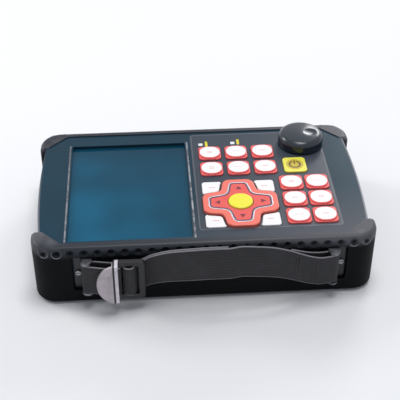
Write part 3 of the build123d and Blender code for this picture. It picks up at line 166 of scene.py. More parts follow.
class Graph:
    """The node tree of a material or of the sky."""

    def __init__(self, owner: Union[bpy.types.Material, bpy.types.World]) -> None:
        """Starts with an empty tree.

        Args:
            owner: What the tree belongs to.
        """
        owner.use_nodes = True
        self.tree = owner.node_tree
        self.tree.nodes.clear()

    def node(
        self,
        kind: str,
        settings: dict[str, object] | None = None,
        values: dict[Union[int, str], Setting] | None = None,
        output: Union[int, str] = 0,
    ) -> Value:
        """Adds any node.

        Args:
            kind: Blender's name for the type of node.
            settings: What is set on the node first.
            values: The numbers, colours or links of its sockets.
            output: Which of its outputs is wanted.

        Returns:
            That output.
        """
        made = self.tree.nodes.new(kind)
        for key, setting in (settings or {}).items():
            setattr(made, key, setting)
        for key, value in (values or {}).items():
            if isinstance(value, Value):
                self.tree.links.new(value.socket, made.inputs[key])
            else:
                made.inputs[key].default_value = value.light if isinstance(value, Colour) else value
        return Value(self, made.outputs[output] if len(made.outputs) else None)

    def point(self) -> Value:
        """The place on the object."""
        return self.node("ShaderNodeTexCoord", output="Object")

    def vector(self, operation: str, numbers: Sequence[float]) -> Value:
        """The place on the object after one Vector Math node with three plain numbers."""
        return self.node(
            "ShaderNodeVectorMath", {"operation": operation}, {0: self.point(), 1: tuple(numbers)}
        )

    def axes(self, centre: Sequence[float] = (0.0, 0.0, 0.0)) -> tuple[Value, Value, Value]:
        """The place on the object along X, Y and Z, counted from a centre."""
        x = self.node("ShaderNodeSeparateXYZ", {}, {0: self.vector("SUBTRACT", centre)})
        return x, x.also(1), x.also(2)

    def noise(self, size: float, detail: float = 2.0, where: Value | None = None) -> Value:
        """Soft noise about one half.

        Args:
            size: About how wide its spots are.
            detail: How many finer layers it has.
            where: The place, if it isn't the plain place on the object.

        Returns:
            The noise.
        """
        return self.node(
            "ShaderNodeTexNoise",
            {"noise_dimensions": "3D"},
            {"Vector": where or self.point(), "Scale": 1 / size, "Detail": detail},
        )

    def cells(self, settings: dict[str, str], scale: float) -> Value:
        """Distances in a pattern of cells, so many of them to a metre."""
        return self.node("ShaderNodeTexVoronoi", settings, {"Vector": self.point(), "Scale": scale})

    def specks(self, start: float) -> Value:
        """The mask of scattered specks of dust, which are fewer with a higher start."""
        return self.noise(0.0011, 3.0).fade(start, start + 0.1) * self.noise(0.02, 1.0).fade(0.4, 0.7)

    def uneven(self, spread: float, least: float, size: float = 0.008, detail: float = 4.0) -> Value:
        """A roughness that wanders by spread above a least value."""
        return self.noise(size, detail) * spread + least

    def mix(self, mask: Number, under: Setting, over: Setting) -> Value:
        """Two colours, of which a mask of 0 shows the one under and 1 the one over."""
        return self.node("ShaderNodeMix", {"data_type": "RGBA"}, {0: mask, 6: under, 7: over}, 2)

    def rounded(self, x: Value, y: Value, half: Pair, corner: float) -> Value:
        """How far a place is outside a rounded rectangle about zero.

        Args:
            x: Place across.
            y: Place along.
            half: Half its width and half its height.
            corner: Corner radius.

        Returns:
            The distance, negative inside.
        """
        out_x = abs(x) - (half[0] - corner)
        out_y = abs(y) - (half[1] - corner)
        outside = (out_x.most(0.0) ** 2.0 + out_y.most(0.0) ** 2.0).root()
        return outside + out_x.most(out_y).least(0.0) - corner

    def bump(self, height: Value, depth: float) -> Value:
        """The normal of a relief whose height runs from 0 to 1, where 1 is so deep."""
        return self.node("ShaderNodeBump", {}, {"Strength": 1.0, "Distance": depth, "Height": height})

    def grain(self, size: float, depth: float) -> Value:
        """The normal of a fine grain."""
        return self.bump(self.noise(size), depth)

    def surface(
        self,
        colour: Value,
        roughness: Value,
        normal: Value | None = None,
        others: dict[str, Setting] | None = None,
    ) -> None:
        """Ends the tree with a Principled shader.

        Args:
            colour: Its base colour.
            roughness: Its roughness.
            normal: Its normal, if it has a relief.
            others: Its other numbers and links.
        """
        values = {"Base Color": colour, "Roughness": roughness, **(others or {})}
        if normal is not None:
            values["Normal"] = normal
        self.output(self.node("ShaderNodeBsdfPrincipled", {}, values))

    def output(self, shader: Value) -> None:
        """Links a shader to the material's output."""
        self.node("ShaderNodeOutputMaterial", {}, {"Surface": shader})


@dataclass(frozen=True)
class Finish:
    """What every finish has: a name and a main colour."""

    name: str
    colour: Colour

    def paint(self, graph: Graph) -> None:
        """Builds the nodes; each finish has its own."""
        raise NotImplementedError

    def material(self) -> bpy.types.Material:
        """Builds the material.

        Returns:
            The material.
        """
        made = bpy.data.materials.new(self.name)
        self.paint(Graph(made))
        return made


@dataclass(frozen=True)
class Moulded(Finish):
    """Moulded plastic or rubber with a fine grain, faint clouding and a little dust."""

    shade: Colour
    roughness: float
    wear: float = 0.12
    grain: float = 0.0006
    depth: float = 0.00004
    dust: float = 0.15

    def paint(self, graph: Graph) -> None:
        """Builds the nodes.

        Args:
            graph: Where they go.
        """
        body = graph.mix(graph.noise(0.03), self.colour, self.shade)
        dusty = graph.mix(graph.specks(0.66) * self.dust, body, DUST)
        rough = graph.uneven(self.wear, self.roughness - self.wear / 2)
        graph.surface(dusty, rough, graph.grain(self.grain, self.depth))


@dataclass(frozen=True)
class PanelPlastic(Finish):
    """Smooth blue-black moulding with a painted sheen near one corner and a painted highlight along the edges
    of its bowed ends.
    """

    shade: Colour
    polished: Colour
    edge: Colour
    top: Triple
    half: Pair
    end_bow: float = 0.004
    edge_width: float = 0.0018
    edge_depth: float = 0.0014
    corner: Pair = (0.1, -0.079)
    reach: float = 0.13
    dust: float = 0.12

    def _end_highlights(self, graph: Graph) -> Value:
        """The mask of the painted highlight along the edges of both ends.

        Args:
            graph: Where its nodes go.

        Returns:
            Up to 1 on an edge, less toward the far side and the left, and 0 elsewhere.
        """
        x, y, z = graph.axes(self.top)
        radius = (self.half[1] ** 2 + self.end_bow**2) / (2 * self.end_bow)
        along = abs(x) + (radius - self.half[0])
        out = (along * along + y * y).root() - radius
        # Strength of the painted highlight: more toward the right and the near side.
        painted_light = x.fade(-0.01, 0.01) * 0.5 + y.fade(0.04, -0.03) * 0.5
        rim = out.fade(-self.edge_width, -self.edge_width / 2)
        return rim * z.fade(-self.edge_depth, 0.0004 - self.edge_depth) * painted_light

    def paint(self, graph: Graph) -> None:
        """Builds the nodes.

        Args:
            graph: Where they go.
        """
        # Painted sheen that grows toward the near right corner.
        x, y, _ = graph.axes((self.top[0] + self.corner[0], self.top[1] + self.corner[1], 0.0))
        away = (x * x * 0.35 + y * y * 2.5).root()
        plain = graph.mix(graph.noise(0.03), self.colour, self.shade)
        with_sheen = graph.mix(away.fade(self.reach, 0.0), plain, self.polished)
        # Painted highlight along the edges of both ends.
        body = graph.mix(self._end_highlights(graph), with_sheen, self.edge)
        dusty = graph.mix(graph.specks(0.68) * self.dust, body, DUST)
        normal = graph.grain(0.0008, 0.000012)
        graph.surface(dusty, graph.uneven(0.1, 0.25), normal, {"Specular IOR Level": 0.12})


@dataclass(frozen=True)
class BootRubber(Finish):
    """Black rubber whose upper edges and corners are painted paler as a highlight, more so toward the right;
    its upper edges are also shinier.
    """

    rim: Colour
    corner: Colour
    dust: Colour
    rim_z: Pair = (0.0408, 0.0474)
    corner_x: Pair = (0.094, 0.112)
    corner_z: Pair = (0.0462, 0.0486)
    right_x: Pair = (-0.05, 0.12)

    def paint(self, graph: Graph) -> None:
        """Builds the nodes.

        Args:
            graph: Where they go.
        """
        x, _, z = graph.axes()
        # Painted highlight: the upper rim, down into the shaded dishes, is painted paler; the same mask makes
        # it shinier.
        upper = z.fade(*self.rim_z)
        clouds = graph.noise(0.02, 3.0).fade(0.25, 0.7)
        # Painted highlight: pale cloudy patches on the corner tops, and a paler rim toward the right.
        ends = abs(x).fade(*self.corner_x) * z.fade(*self.corner_z) * clouds
        painted_light = graph.mix(ends.most(x.fade(*self.right_x) * 0.5), self.rim, self.corner)
        body = graph.mix(graph.specks(0.68) * 0.2, graph.mix(upper, self.colour, painted_light), self.dust)
        graph.surface(
            body,
            graph.uneven(0.12, 0.52) - upper * 0.14,
            graph.grain(0.0007, 0.00003),
            {"Specular IOR Level": 0.08, "Coat Weight": upper * 0.2, "Coat Roughness": 0.3},
        )


@dataclass(frozen=True)
class EyeletRubber(Finish):
    """Raised rim whose lower half is painted pale as a highlight."""

    wear_and_highlight: Colour
    middle_z: float
    radius: float

    def paint(self, graph: Graph) -> None:
        """Builds the nodes.

        Args:
            graph: Where they go.
        """
        _, _, z = graph.axes((0.0, 0.0, self.middle_z))
        # Painted highlight on the lower half of the rim, broken up by noise.
        low = z.fade(self.radius * 0.9, -self.radius * 0.7) * graph.noise(0.003).fade(0.2, 0.6)
        colour = graph.mix(low, self.colour, self.wear_and_highlight)
        graph.surface(colour, graph.uneven(0.1, 0.3), graph.grain(0.0006, 0.00002))


@dataclass(frozen=True)
class KnobGloss(Finish):
    """Glossy moulding of the knob, whose top catches the light as a shallow dome."""

    shade: Colour
    centre: Triple
    radius: float = 0.0178
    dome: float = 0.0022

    def paint(self, graph: Graph) -> None:
        """Builds the nodes.

        Args:
            graph: Where they go.
        """
        x, y, _ = graph.axes(self.centre)
        dome = 1.0 - ((x * x + y * y) / self.radius**2).least(1.0)
        graph.surface(
            graph.mix(graph.noise(0.02), self.colour, self.shade),
            graph.uneven(0.08, 0.14, 0.006, 3.0),
            graph.bump(dome, self.dome),
            {"Specular IOR Level": 0.35, "Coat Weight": 0.35, "Coat Roughness": 0.12},
        )


@dataclass(frozen=True)
class Brushed(Finish):
    """Bare metal with fine lines along the axis whose stretch is least."""

    stretch: Triple
    line: float
    roughness: float
    metallic: float = 1.0
    depth: float = 0.00002
    stain: Colour = Colour(95, 95, 100)

    def paint(self, graph: Graph) -> None:
        """Builds the nodes.

        Args:
            graph: Where they go.
        """
        lines = graph.noise(self.line, 3.0, graph.vector("MULTIPLY", self.stretch))
        stains = graph.noise(0.006, 3.0).fade(0.45, 0.8) * 0.2
        graph.surface(
            graph.mix(stains, self.colour, self.stain),
            lines * 0.2 + (self.roughness - 0.1),
            graph.bump(lines, self.depth),
            {"Metallic": self.metallic},
        )


@dataclass(frozen=True)
class TrimMetal(Finish):
    """Thin metal strips whose dark coating has come off in pale patches, painted stronger toward the near
    side and the right as a highlight.
    """

    wear_and_highlight: Colour
    reach: float = 0.06

    def paint(self, graph: Graph) -> None:
        """Builds the nodes.

        Args:
            graph: Where they go.
        """
        x, y, _ = graph.axes()
        lines = graph.noise(0.0003, 3.0, graph.vector("MULTIPLY", (1.0, 0.03, 1.0)))
        # Painted highlight: the pale patches grow stronger toward the near side and the right.
        near = y.fade(self.reach, -self.reach) * 0.45 + 0.55
        right = x.fade(-self.reach, 0.0) * 0.45 + 0.55
        patches = graph.noise(0.006, 4.0).fade(0.36, 0.6) * near * right
        colour = graph.mix(patches, self.colour, self.wear_and_highlight)
        graph.surface(colour, lines * 0.2 + 0.26, graph.bump(lines, 0.00002), {"Metallic": patches * 0.5})


@dataclass(frozen=True)
class Circuit(Finish):
    """Circuit board: lacquer, copper runs under it and bare pads."""

    run: Colour
    pad: Colour

    def paint(self, graph: Graph) -> None:
        """Builds the nodes.

        Args:
            graph: Where they go.
        """
        edges = {"distance": "CHEBYCHEV", "feature": "DISTANCE_TO_EDGE"}
        runs = graph.cells(edges, 320.0).fade(0.09, 0.06)
        pads = graph.cells({"distance": "MANHATTAN"}, 210.0).fade(0.2, 0.16)
        colour = graph.mix(pads, graph.mix(runs * 0.6, self.colour, self.run), self.pad)
        normal = graph.bump(runs.most(pads), 0.00004)
        graph.surface(colour, 0.42 - pads * 0.12, normal, {"Metallic": pads * 0.8})


@dataclass(frozen=True)
class ScreenGlass(Finish):
    """Window over the switched-off display: a deep colour under clear gloss, with a painted reflection toward
    the near left, painted shade toward the far edge and a darker band just inside its edges.
    """

    edge: Colour
    reflection_tone: Colour
    centre: Triple
    half: Pair
    border: Pair = (-0.0022, -0.0006)

    def paint(self, graph: Graph) -> None:
        """Builds the nodes.

        Args:
            graph: Where they go.
        """
        x, y, _ = graph.axes(self.centre)
        # Painted reflection, lighter toward the near left and broken up by noise.
        across = (x / (4 * self.half[0]) + y / (4 * self.half[1]) + 0.5).fade(0.9, 0.1)
        lit = graph.mix(across * graph.noise(0.05, 1.0).fade(0.2, 0.8), self.colour, self.reflection_tone)
        # Painted shade toward the far edge.
        far = y.fade(self.half[1] * 0.45, self.half[1]) * 0.45
        film = graph.noise(0.02, 3.0).fade(0.58, 0.8)
        body = graph.mix(film * 0.12, graph.mix(far, lit, self.edge), self.reflection_tone)
        # A darker band just inside the edges of the window.
        border = graph.rounded(x, y, self.half, 0.0015).fade(*self.border)
        gloss = {"Specular IOR Level": 0.1, "Coat Weight": 0.11, "Coat Roughness": 0.05}
        graph.surface(graph.mix(border * 0.55, body, self.edge), film * 0.1 + 0.1, None, gloss)


@dataclass(frozen=True)
class PadCross:
    """The cross of the inlaid line on the direction pad: four narrowing lobes, in millimetres."""

    centre: Pair = (28.1, -28.8)
    reach: float = 23.6
    end_half: float = 6.6
    valley: float = 9.6


@dataclass(frozen=True)
class PadRubber(Finish):
    """Direction pad: paler rubber outside the inlaid line and deeper colour inside it."""

    inside: Colour
    centre: Triple
    cross: PadCross = PadCross()

    def _lobes(self, across: Value, along: Value) -> Value:
        """How far a place is outside two opposite lobes.

        Args:
            across: Place across them.
            along: Place along them.

        Returns:
            The distance, negative inside.
        """
        valley, reach = self.cross.valley * MM, self.cross.reach * MM
        taper = (valley - self.cross.end_half * MM) / (reach - valley)
        sides = abs(across) + (abs(along) - valley) * taper - valley
        return sides.most(abs(along) - reach)

    def paint(self, graph: Graph) -> None:
        """Builds the nodes.

        Args:
            graph: Where they go.
        """
        x, y, _ = graph.axes(self.centre)
        inside = self._lobes(x, y).least(self._lobes(y, x)).fade(-0.0008, -0.0014)
        colour = graph.mix(inside * (graph.noise(0.006, 3.0) * 0.5 + 0.5), self.colour, self.inside)
        graph.surface(colour, graph.uneven(0.1, 0.31), graph.grain(0.0006, 0.00002))


class Mark(Enum):
    """Plain marks on the key caps."""

    LINE = "one short line"
    BARS = "two short lines"
    DOTS = "three dots"


@dataclass(frozen=True)
class PrintedArea:
    """The pale area of a key cap and what is printed on it."""

    half: Pair
    corner: float
    mark: Mark

    def marks(self, graph: Graph, x: Value, y: Value) -> Value:
        """The mask of the printed marks.

        Args:
            graph: Where its nodes go.
            x: Place across from the middle of the cap.
            y: Place along from the middle of the cap.

        Returns:
            1 on the marks and 0 elsewhere.
        """
        if self.mark is Mark.LINE:
            shape = graph.rounded(x, y, (2.4 * MM, 0.45 * MM), 0.4 * MM)
        elif self.mark is Mark.BARS:
            shape = graph.rounded(x, abs(y) - 0.9 * MM, (2.1 * MM, 0.38 * MM), 0.3 * MM)
        else:
            pitch = 1.1 * MM
            shape = graph.rounded(abs(abs(x) - pitch) - pitch, y, (0.5 * MM, 0.5 * MM), 0.45 * MM)
        return shape.fade(0.1 * MM, -0.1 * MM)


@dataclass(frozen=True)
class KeyCap(Finish):
    """Silicone-soft key cap with a pale printed area on a coloured skirt."""

    crown: Colour
    area: PrintedArea
    centre: Triple
    skirt_shade: Colour = Colour(206, 58, 66)
    crown_shade: Colour = Colour(206, 196, 196)
    ink: Colour = Colour(214, 120, 128)

    def paint(self, graph: Graph) -> None:
        """Builds the nodes.

        Args:
            graph: Where they go.
        """
        x, y, _ = graph.axes(self.centre)
        pale = graph.rounded(x, y, self.area.half, self.area.corner).fade(0.2 * MM, -0.2 * MM)
        skirt = graph.mix(graph.noise(0.004, 3.0) * 0.35, self.colour, self.skirt_shade)
        crown = graph.mix(graph.noise(0.003, 3.0).fade(0.5, 0.9) * 0.2, self.crown, self.crown_shade)
        printed = graph.mix(self.area.marks(graph, x, y) * 0.6, crown, self.ink)
        rough = graph.uneven(0.14, 0.27, 0.005, 3.0)
        graph.surface(graph.mix(pale, skirt, printed), rough, graph.grain(0.0005, 0.00002))


@dataclass(frozen=True)
class PowerCap(Finish):
    """Yellow key cap with a darker disc and a plain on-off sign."""

    shade: Colour
    disc: Colour
    sign: Colour
    centre: Triple
    ring_radius: float = 4.0 * MM

    def paint(self, graph: Graph) -> None:
        """Builds the nodes.

        Args:
            graph: Where they go.
        """
        x, y, _ = graph.axes(self.centre)
        reach = (x * x + y * y).root()
        disc = reach.fade(6.9 * MM, 6.4 * MM)
        ring = abs(reach - self.ring_radius).fade(0.9 * MM, 0.6 * MM)
        gap = graph.rounded(x, y - self.ring_radius, (1.5 * MM, 1.8 * MM), 0.2 * MM)
        bar = graph.rounded(x, y - 2.7 * MM, (0.6 * MM, 2.3 * MM), 0.4 * MM)
        sign = (ring * gap.fade(-0.1 * MM, 0.1 * MM)).most(bar.fade(0.1 * MM, -0.1 * MM))
        cap = graph.mix(graph.noise(0.004, 3.0) * 0.25, self.colour, self.shade)
        colour = graph.mix(sign, graph.mix(disc, cap, self.disc), self.sign)
        graph.surface(colour, graph.uneven(0.14, 0.28, 0.005, 3.0), graph.grain(0.0005, 0.00002))


@dataclass(frozen=True)
class KeypadFilm(Finish):
    """Hard-coated film with a fine texture, a painted sheen toward the near right, a pale printed rim and
    bars placed from its middle.
    """

    sheen: Colour
    rim: Colour
    bar_colour: Colour
    centre: Triple
    half: Pair
    bars: tuple[Pair, ...]
    bar_half: Pair = (1.0 * MM, 3.6 * MM)
    corner: float = 3.0 * MM
    rim_inset: float = 1.1 * MM

    def paint(self, graph: Graph) -> None:
        """Builds the nodes.

        Args:
            graph: Where they go.
        """
        x, y, _ = graph.axes(self.centre)
        edge = graph.rounded(x, y, self.half, self.corner)
        rim = abs(edge + self.rim_inset).fade(0.55 * MM, 0.3 * MM)
        # Painted sheen toward the near right corner.
        lower_right = (x / (4 * self.half[0]) - y / (4 * self.half[1]) + 0.5).fade(0.3, 1.0)
        printed = graph.mix(rim * 0.3, graph.mix(lower_right, self.colour, self.sheen), self.rim)
        for bar_x, bar_y in self.bars:
            shape = graph.rounded(x - bar_x, y - bar_y, self.bar_half, 0.3 * MM)
            printed = graph.mix(shape.fade(0.1 * MM, -0.1 * MM), printed, self.bar_colour)
        rough = graph.uneven(0.12, 0.3, 0.01)
        graph.surface(printed, rough, graph.grain(0.0004, 0.00001), {"Specular IOR Level": 0.25})


@dataclass(frozen=True)
class Webbing(Finish):
    """Woven strap: ribs along it, picks across it and a painted highlight along both edges."""

    thread: Colour
    rib: float = 0.0013
    pick: float = 0.0009
    edge: float = 0.0119

    def paint(self, graph: Graph) -> None:
        """Builds the nodes.

        Args:
            graph: Where they go.
        """
        route = graph.node("ShaderNodeAttribute", {"attribute_name": "route"}, output="Vector")
        along = graph.node("ShaderNodeSeparateXYZ", {}, {0: route})
        across = along.also(1)
        turn = 2 * math.pi
        ribs = (across * (turn / self.rib)).sine() * 0.5 + 0.5
        wave = (across * (turn / self.rib / 2)).sine() * 2.2
        picks = (along * (turn / self.pick) + wave).sine() * 0.5 + 0.5
        weave = ribs * 0.6 + picks * ribs * 0.4
        wear_and_highlight = graph.noise(0.01, 4.0).fade(0.45, 0.8)
        # Painted highlight along both edges; weave and wear add a little of the same pale colour.
        edge = abs(across).fade(self.edge - 0.0003, self.edge + 0.0003)
        colour = graph.mix(weave * 0.05 + wear_and_highlight * 0.05 + edge * 0.85, self.colour, self.thread)
        sheen = {"Sheen Weight": 0.14, "Sheen Roughness": 0.4}
        graph.surface(colour, 0.82 - weave * 0.2, graph.bump(weave, 0.00012), sheen)


@dataclass(frozen=True)
class BuckleCoat(Finish):
    """Dark coated buckle with a bare metal tab and, beside it, a bare metal bar painted brighter as a
    highlight.
    """

    tab: Colour
    bar: Colour
    stain: Colour
    bar_middle: float = -0.0630
    bar_half: float = 0.0012
    groove: float = 0.0014

    def paint(self, graph: Graph) -> None:
        """Builds the nodes.

        Args:
            graph: Where they go.
        """
        x, _, _ = graph.axes()
        tab_end = self.bar_middle - self.bar_half - self.groove
        tab = x.fade(tab_end + 0.0001, tab_end - 0.0001)
        # The bar: bare metal, painted brighter than the tab as a highlight.
        bar = abs(x - self.bar_middle).fade(self.bar_half + 0.0001, self.bar_half - 0.0001)
        bare = tab.most(bar)
        stains = graph.noise(0.004, 3.0).fade(0.3, 0.8) * 0.3
        metal = graph.mix(stains, graph.mix(bar, self.tab, self.bar), self.stain)
        colour = graph.mix(bare, self.colour, metal)
        rough = graph.uneven(0.15, 0.3, 0.003, 3.0)
        graph.surface(colour, rough, graph.grain(0.0004, 0.00003), {"Metallic": bare * 0.4})


@dataclass(frozen=True)
class AnchorSteel(Finish):
    """Dark coated plate whose bar is worn bare."""

    bare: Colour
    plate_y: float

    def paint(self, graph: Graph) -> None:
        """Builds the nodes.

        Args:
            graph: Where they go.
        """
        _, y, _ = graph.axes()
        out = y.fade(self.plate_y, self.plate_y - 0.0015) * graph.noise(0.004, 3.0).fade(0.35, 0.6)
        colour = graph.mix(out, self.colour, self.bare)
        rough = graph.uneven(0.16, 0.28, 0.003, 3.0)
        graph.surface(colour, rough, graph.grain(0.0005, 0.00003), {"Metallic": out * 0.8 + 0.1})


@dataclass(frozen=True)
class FloorPaint(Finish):
    """Plain pale floor that keeps the shadow and isn't seen from below."""

    shade: Colour

    def paint(self, graph: Graph) -> None:
        """Builds the nodes.

        Args:
            graph: Where they go.
        """
        tone = graph.mix(graph.noise(0.6) * 0.1, self.colour, self.shade)
        floor = graph.node("ShaderNodeBsdfPrincipled", {}, {"Base Color": tone, "Roughness": 0.75})
        clear = graph.node("ShaderNodeBsdfTransparent")
        back = graph.node("ShaderNodeNewGeometry", output="Backfacing")
        graph.output(graph.node("ShaderNodeMixShader", {}, {0: back, 1: floor, 2: clear}))


def dress(finish: Finish, *nodes: str) -> None:
    """Dresses CAD nodes.

    Args:
        finish: The finish that they get on every face.
        nodes: Their names.
    """
    material = finish.material()
    for node in nodes:
        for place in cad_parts[node].material_slots:
            place.material = material
        log.info("%s wears %s", node, material.name)


def middle_and_half(node: str) -> tuple[Triple, Pair]:
    """The middle of a CAD node's box, and half its size along X and Y."""
    low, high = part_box(node)
    return tuple((low + high) / 2), ((high.x - low.x) / 2, (high.y - low.y) / 2)


class Shape:
    """The points and faces of a piece while it is built."""

    def __init__(self) -> None:
        """Starts with nothing."""
        self.corners: list[Sequence[float]] = []
        self.faces: list[Sequence[int]] = []

    def rings(self, points: Sequence[Sequence[float]], width: int, closed: bool = False) -> None:
        """Adds a skin over rings of points, with a cap on both ends if it isn't closed.

        Args:
            points: The points, in metres, one ring after the other.
            width: How many points a ring has.
            closed: Whether the last ring joins the first.
        """
        start, count = len(self.corners), len(points) // width
        self.corners.extend(points)
        for place in range(count if closed else count - 1):
            here, there = start + place * width, start + (place + 1) % count * width
            for k in range(width):
                after = (k + 1) % width
                self.faces.append((here + k, here + after, there + after, there + k))
        if not closed:
            last = start + (count - 1) * width
            self.faces.append(tuple(start + k for k in reversed(range(width))))
            self.faces.append(tuple(last + k for k in range(width)))


def add_piece(
    name: str, shape: Shape, material: bpy.types.Material, body: str, smooth: bool = True
) -> bpy.types.Object:
    """Makes a mesh piece that rides on a body.

    Args:
        name: Name of the piece.
        shape: Its points and faces.
        material: Its finish.
        body: The CAD body that it moves with.
        smooth: Whether its faces are shaded smooth.

    Returns:
        The piece.
    """
    mesh = bpy.data.meshes.new(name)
    mesh.from_pydata([tuple(c) for c in shape.corners], [], shape.faces)
    mesh.validate()
    mesh.polygons.foreach_set("use_smooth", [smooth] * len(mesh.polygons))
    mesh.materials.append(material)
    piece = bpy.data.objects.new(name, mesh)
    bpy.context.scene.collection.objects.link(piece)
    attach(piece, body)
    log.info("%s built, %d faces", name, len(mesh.polygons))
    return piece


def turned(x: float, y: float, angle: float) -> Vector:
    """A point of the plane, turned about zero."""
    return Vector((x * math.cos(angle) - y * math.sin(angle), x * math.sin(angle) + y * math.cos(angle)))


def even_angles(count: int) -> list[float]:
    """Angles that go evenly round a circle."""
    return [2 * math.pi * place / count for place in range(count)]


def rounded_path(
    corners: Sequence[Vector], radii: Sequence[float], step: float, closed: bool = False
) -> list[Vector]:
    """Runs a line through corners with an arc at each.

    Args:
        corners: The corners of the line, in the plane.
        radii: Radius at each corner between the ends, or at every corner of a closed line.
        step: About how far apart the points are.
        closed: Whether the line ends where it starts.

    Returns:
        Points along the line, evenly spaced on each stretch.
    """
    count = len(corners)
    rounds = dict(zip(range(count) if closed else range(1, count - 1), radii))
    arcs: list[tuple[Vector, Vector]] = []
    for place, here in enumerate(corners):
        if place not in rounds:
            arcs.append((here, here))
            continue
        before = (corners[place - 1] - here).normalized()
        after = (corners[(place + 1) % count] - here).normalized()
        cut = rounds[place] / math.tan(before.angle(after) / 2)
        arcs.append((here + before * cut, here + after * cut))
    path: list[Vector] = []
    for place, (start, end) in enumerate(arcs):
        path.extend(_arc(start, corners[place], end, step) if place in rounds else [start])
        if closed or place < count - 1:
            following = arcs[(place + 1) % count][0]
            runs = max(1, round((following - end).length / step))
            path.extend(end.lerp(following, i / runs) for i in range(1, runs))
    return path


def _arc(start: Vector, corner: Vector, end: Vector, step: float) -> list[Vector]:
    """Points on the arc that touches both legs of a corner.

    Args:
        start: Where the arc leaves the first leg.
        corner: The corner.
        end: Where it meets the second leg.
        step: About how far apart the points are.

    Returns:
        The points, both ends among them.
    """
    middle = (start + end) / 2
    leg, rise = (start - corner).length, (middle - corner).length
    centre = corner + (middle - corner) * (leg * leg / (rise * rise))
    way = start - centre
    turn = way.angle_signed(end - centre)
    count = max(3, round(abs(turn) * way.length / step))
    return [centre + turned(way.x, way.y, -turn * i / count) for i in range(count + 1)]


def path_sides(path: Sequence[Vector], closed: bool) -> list[Vector]:
    """The unit normal on the left of a line at each of its points.

    Args:
        path: Points along the line.
        closed: Whether the line ends where it starts.

    Returns:
        One normal for each point.
    """
    sides, count = [], len(path)
    for place in range(count):
        before = path[place - 1] if closed or place else path[0]
        after = path[(place + 1) % count] if closed or place < count - 1 else path[-1]
        way = (after - before).normalized()
        sides.append(Vector((-way.y, way.x)))
    return sides


@dataclass(frozen=True)
class Layout:
    """Where the housing stands in the frame."""

    middle_y: float
    panel_z: float

    @classmethod
    def from_frame(cls) -> "Layout":
        """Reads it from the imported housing."""
        low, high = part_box("front_shell")
        return cls((low.y + high.y) / 2, high.z)

    def at(self, x_mm: float, y_mm: float, z: float = 0.0) -> Triple:
        """A point given from the middle of the housing, in millimetres, as metres in the frame."""
        return (x_mm * MM, y_mm * MM + self.middle_y, z)


@dataclass
class Housing:
    """Shells, seal, boot, battery door, stand, feet and every screw."""

    layout: Layout
    back: Moulded = Moulded(
        "back_matt", Colour(36, 38, 41), Colour(30, 31, 34), 0.55, 0.1, 0.0009, 0.00008
    )
    seal: Moulded = Moulded("seal_rubber", Colour(44, 44, 46), Colour(36, 36, 38), 0.7, 0.1)
    # Boot colours: rubber, painted highlight on the upper rim, painted highlight on the corners, dust.
    boot: BootRubber = BootRubber(
        "boot_rubber", Colour(11, 12, 15), Colour(50, 54, 60), Colour(108, 106, 112), Colour(120, 120, 124)
    )
    stand: Moulded = Moulded("stand_plastic", Colour(40, 40, 43), Colour(32, 32, 35), 0.5)
    screw: Brushed = Brushed("screw_steel", Colour(150, 150, 152), (1.0, 1.0, 1.0), 0.0006, 0.34)
    screws: tuple[str, ...] = ("case", "battery_door", "anchor", "lcd", "keypad_board", "main_board")

    def build(self) -> None:
        """Dresses the nodes."""
        middle, half = middle_and_half("front_shell")
        # Shell colours: moulding, second tone, painted sheen at the near right corner, painted highlight
        # along the ends.
        shell = PanelPlastic(
            "housing_gloss",
            Colour(28, 62, 79),
            Colour(30, 50, 62),
            Colour(86, 88, 95),
            Colour(150, 148, 154),
            (middle[0], middle[1], self.layout.panel_z),
            half,
        )
        dress(shell, "front_shell")
        dress(self.back, "rear_shell", "battery_door")
        dress(self.seal, "case_seal", "rubber_feet")
        dress(self.boot, "protective_boot")
        dress(self.stand, "tilt_stand")
        dress(self.screw, *(f"{place}_screws" for place in self.screws))


@dataclass
class Eyelets:
    """Raised rims round the outer dishes of the boot, laid on its real surface. Sizes in millimetres."""

    layout: Layout
    places: tuple[float, ...] = (-113.4, -103.95, 103.95, 113.4)
    start_y: float = 93.0
    drop: float = 3.8
    radius: float = 3.4
    tube: float = 0.28
    steps: int = 28
    tube_steps: int = 6

    def build(self) -> None:
        """Builds the rims of both long sides as one piece."""
        middle_z = self.layout.panel_z - self.drop * MM
        # Rim colour, and the painted highlight on the lower half of each rim.
        colours = Colour(46, 48, 54), Colour(150, 148, 154)
        finish = EyeletRubber("eyelet_rim", *colours, middle_z, self.radius * MM)
        shape = Shape()
        for way in (-1.0, 1.0):
            for x in self.places:
                shape.rings(self._rim(x, way), self.tube_steps, closed=True)
        piece = add_piece("boot_eyelets", shape, finish.material(), "housing")

    def _rim(self, x: float, way: float) -> list[Vector]:
        """The points of one rim.

        Args:
            x: Place of the dish along the boot.
            way: -1 for the near side, 1 for the far side.

        Returns:
            The points, one ring after the other.
        """
        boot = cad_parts["protective_boot"]
        points = []
        for angle in even_angles(self.steps):
            out = Vector((math.cos(angle), 0.0, math.sin(angle)))
            aim = Vector(self.layout.at(x + self.radius * out.x, way * self.start_y, self.layout.panel_z))
            aim.z += (self.radius * out.z - self.drop) * MM
            _, spot, normal, _ = boot.ray_cast(aim, Vector((0.0, -way, 0.0)))
            across = (out - normal * out.dot(normal)).normalized()
            for tilt in even_angles(self.tube_steps):
                points.append(spot + (across * math.cos(tilt) + normal * math.sin(tilt)) * self.tube * MM)
        return points


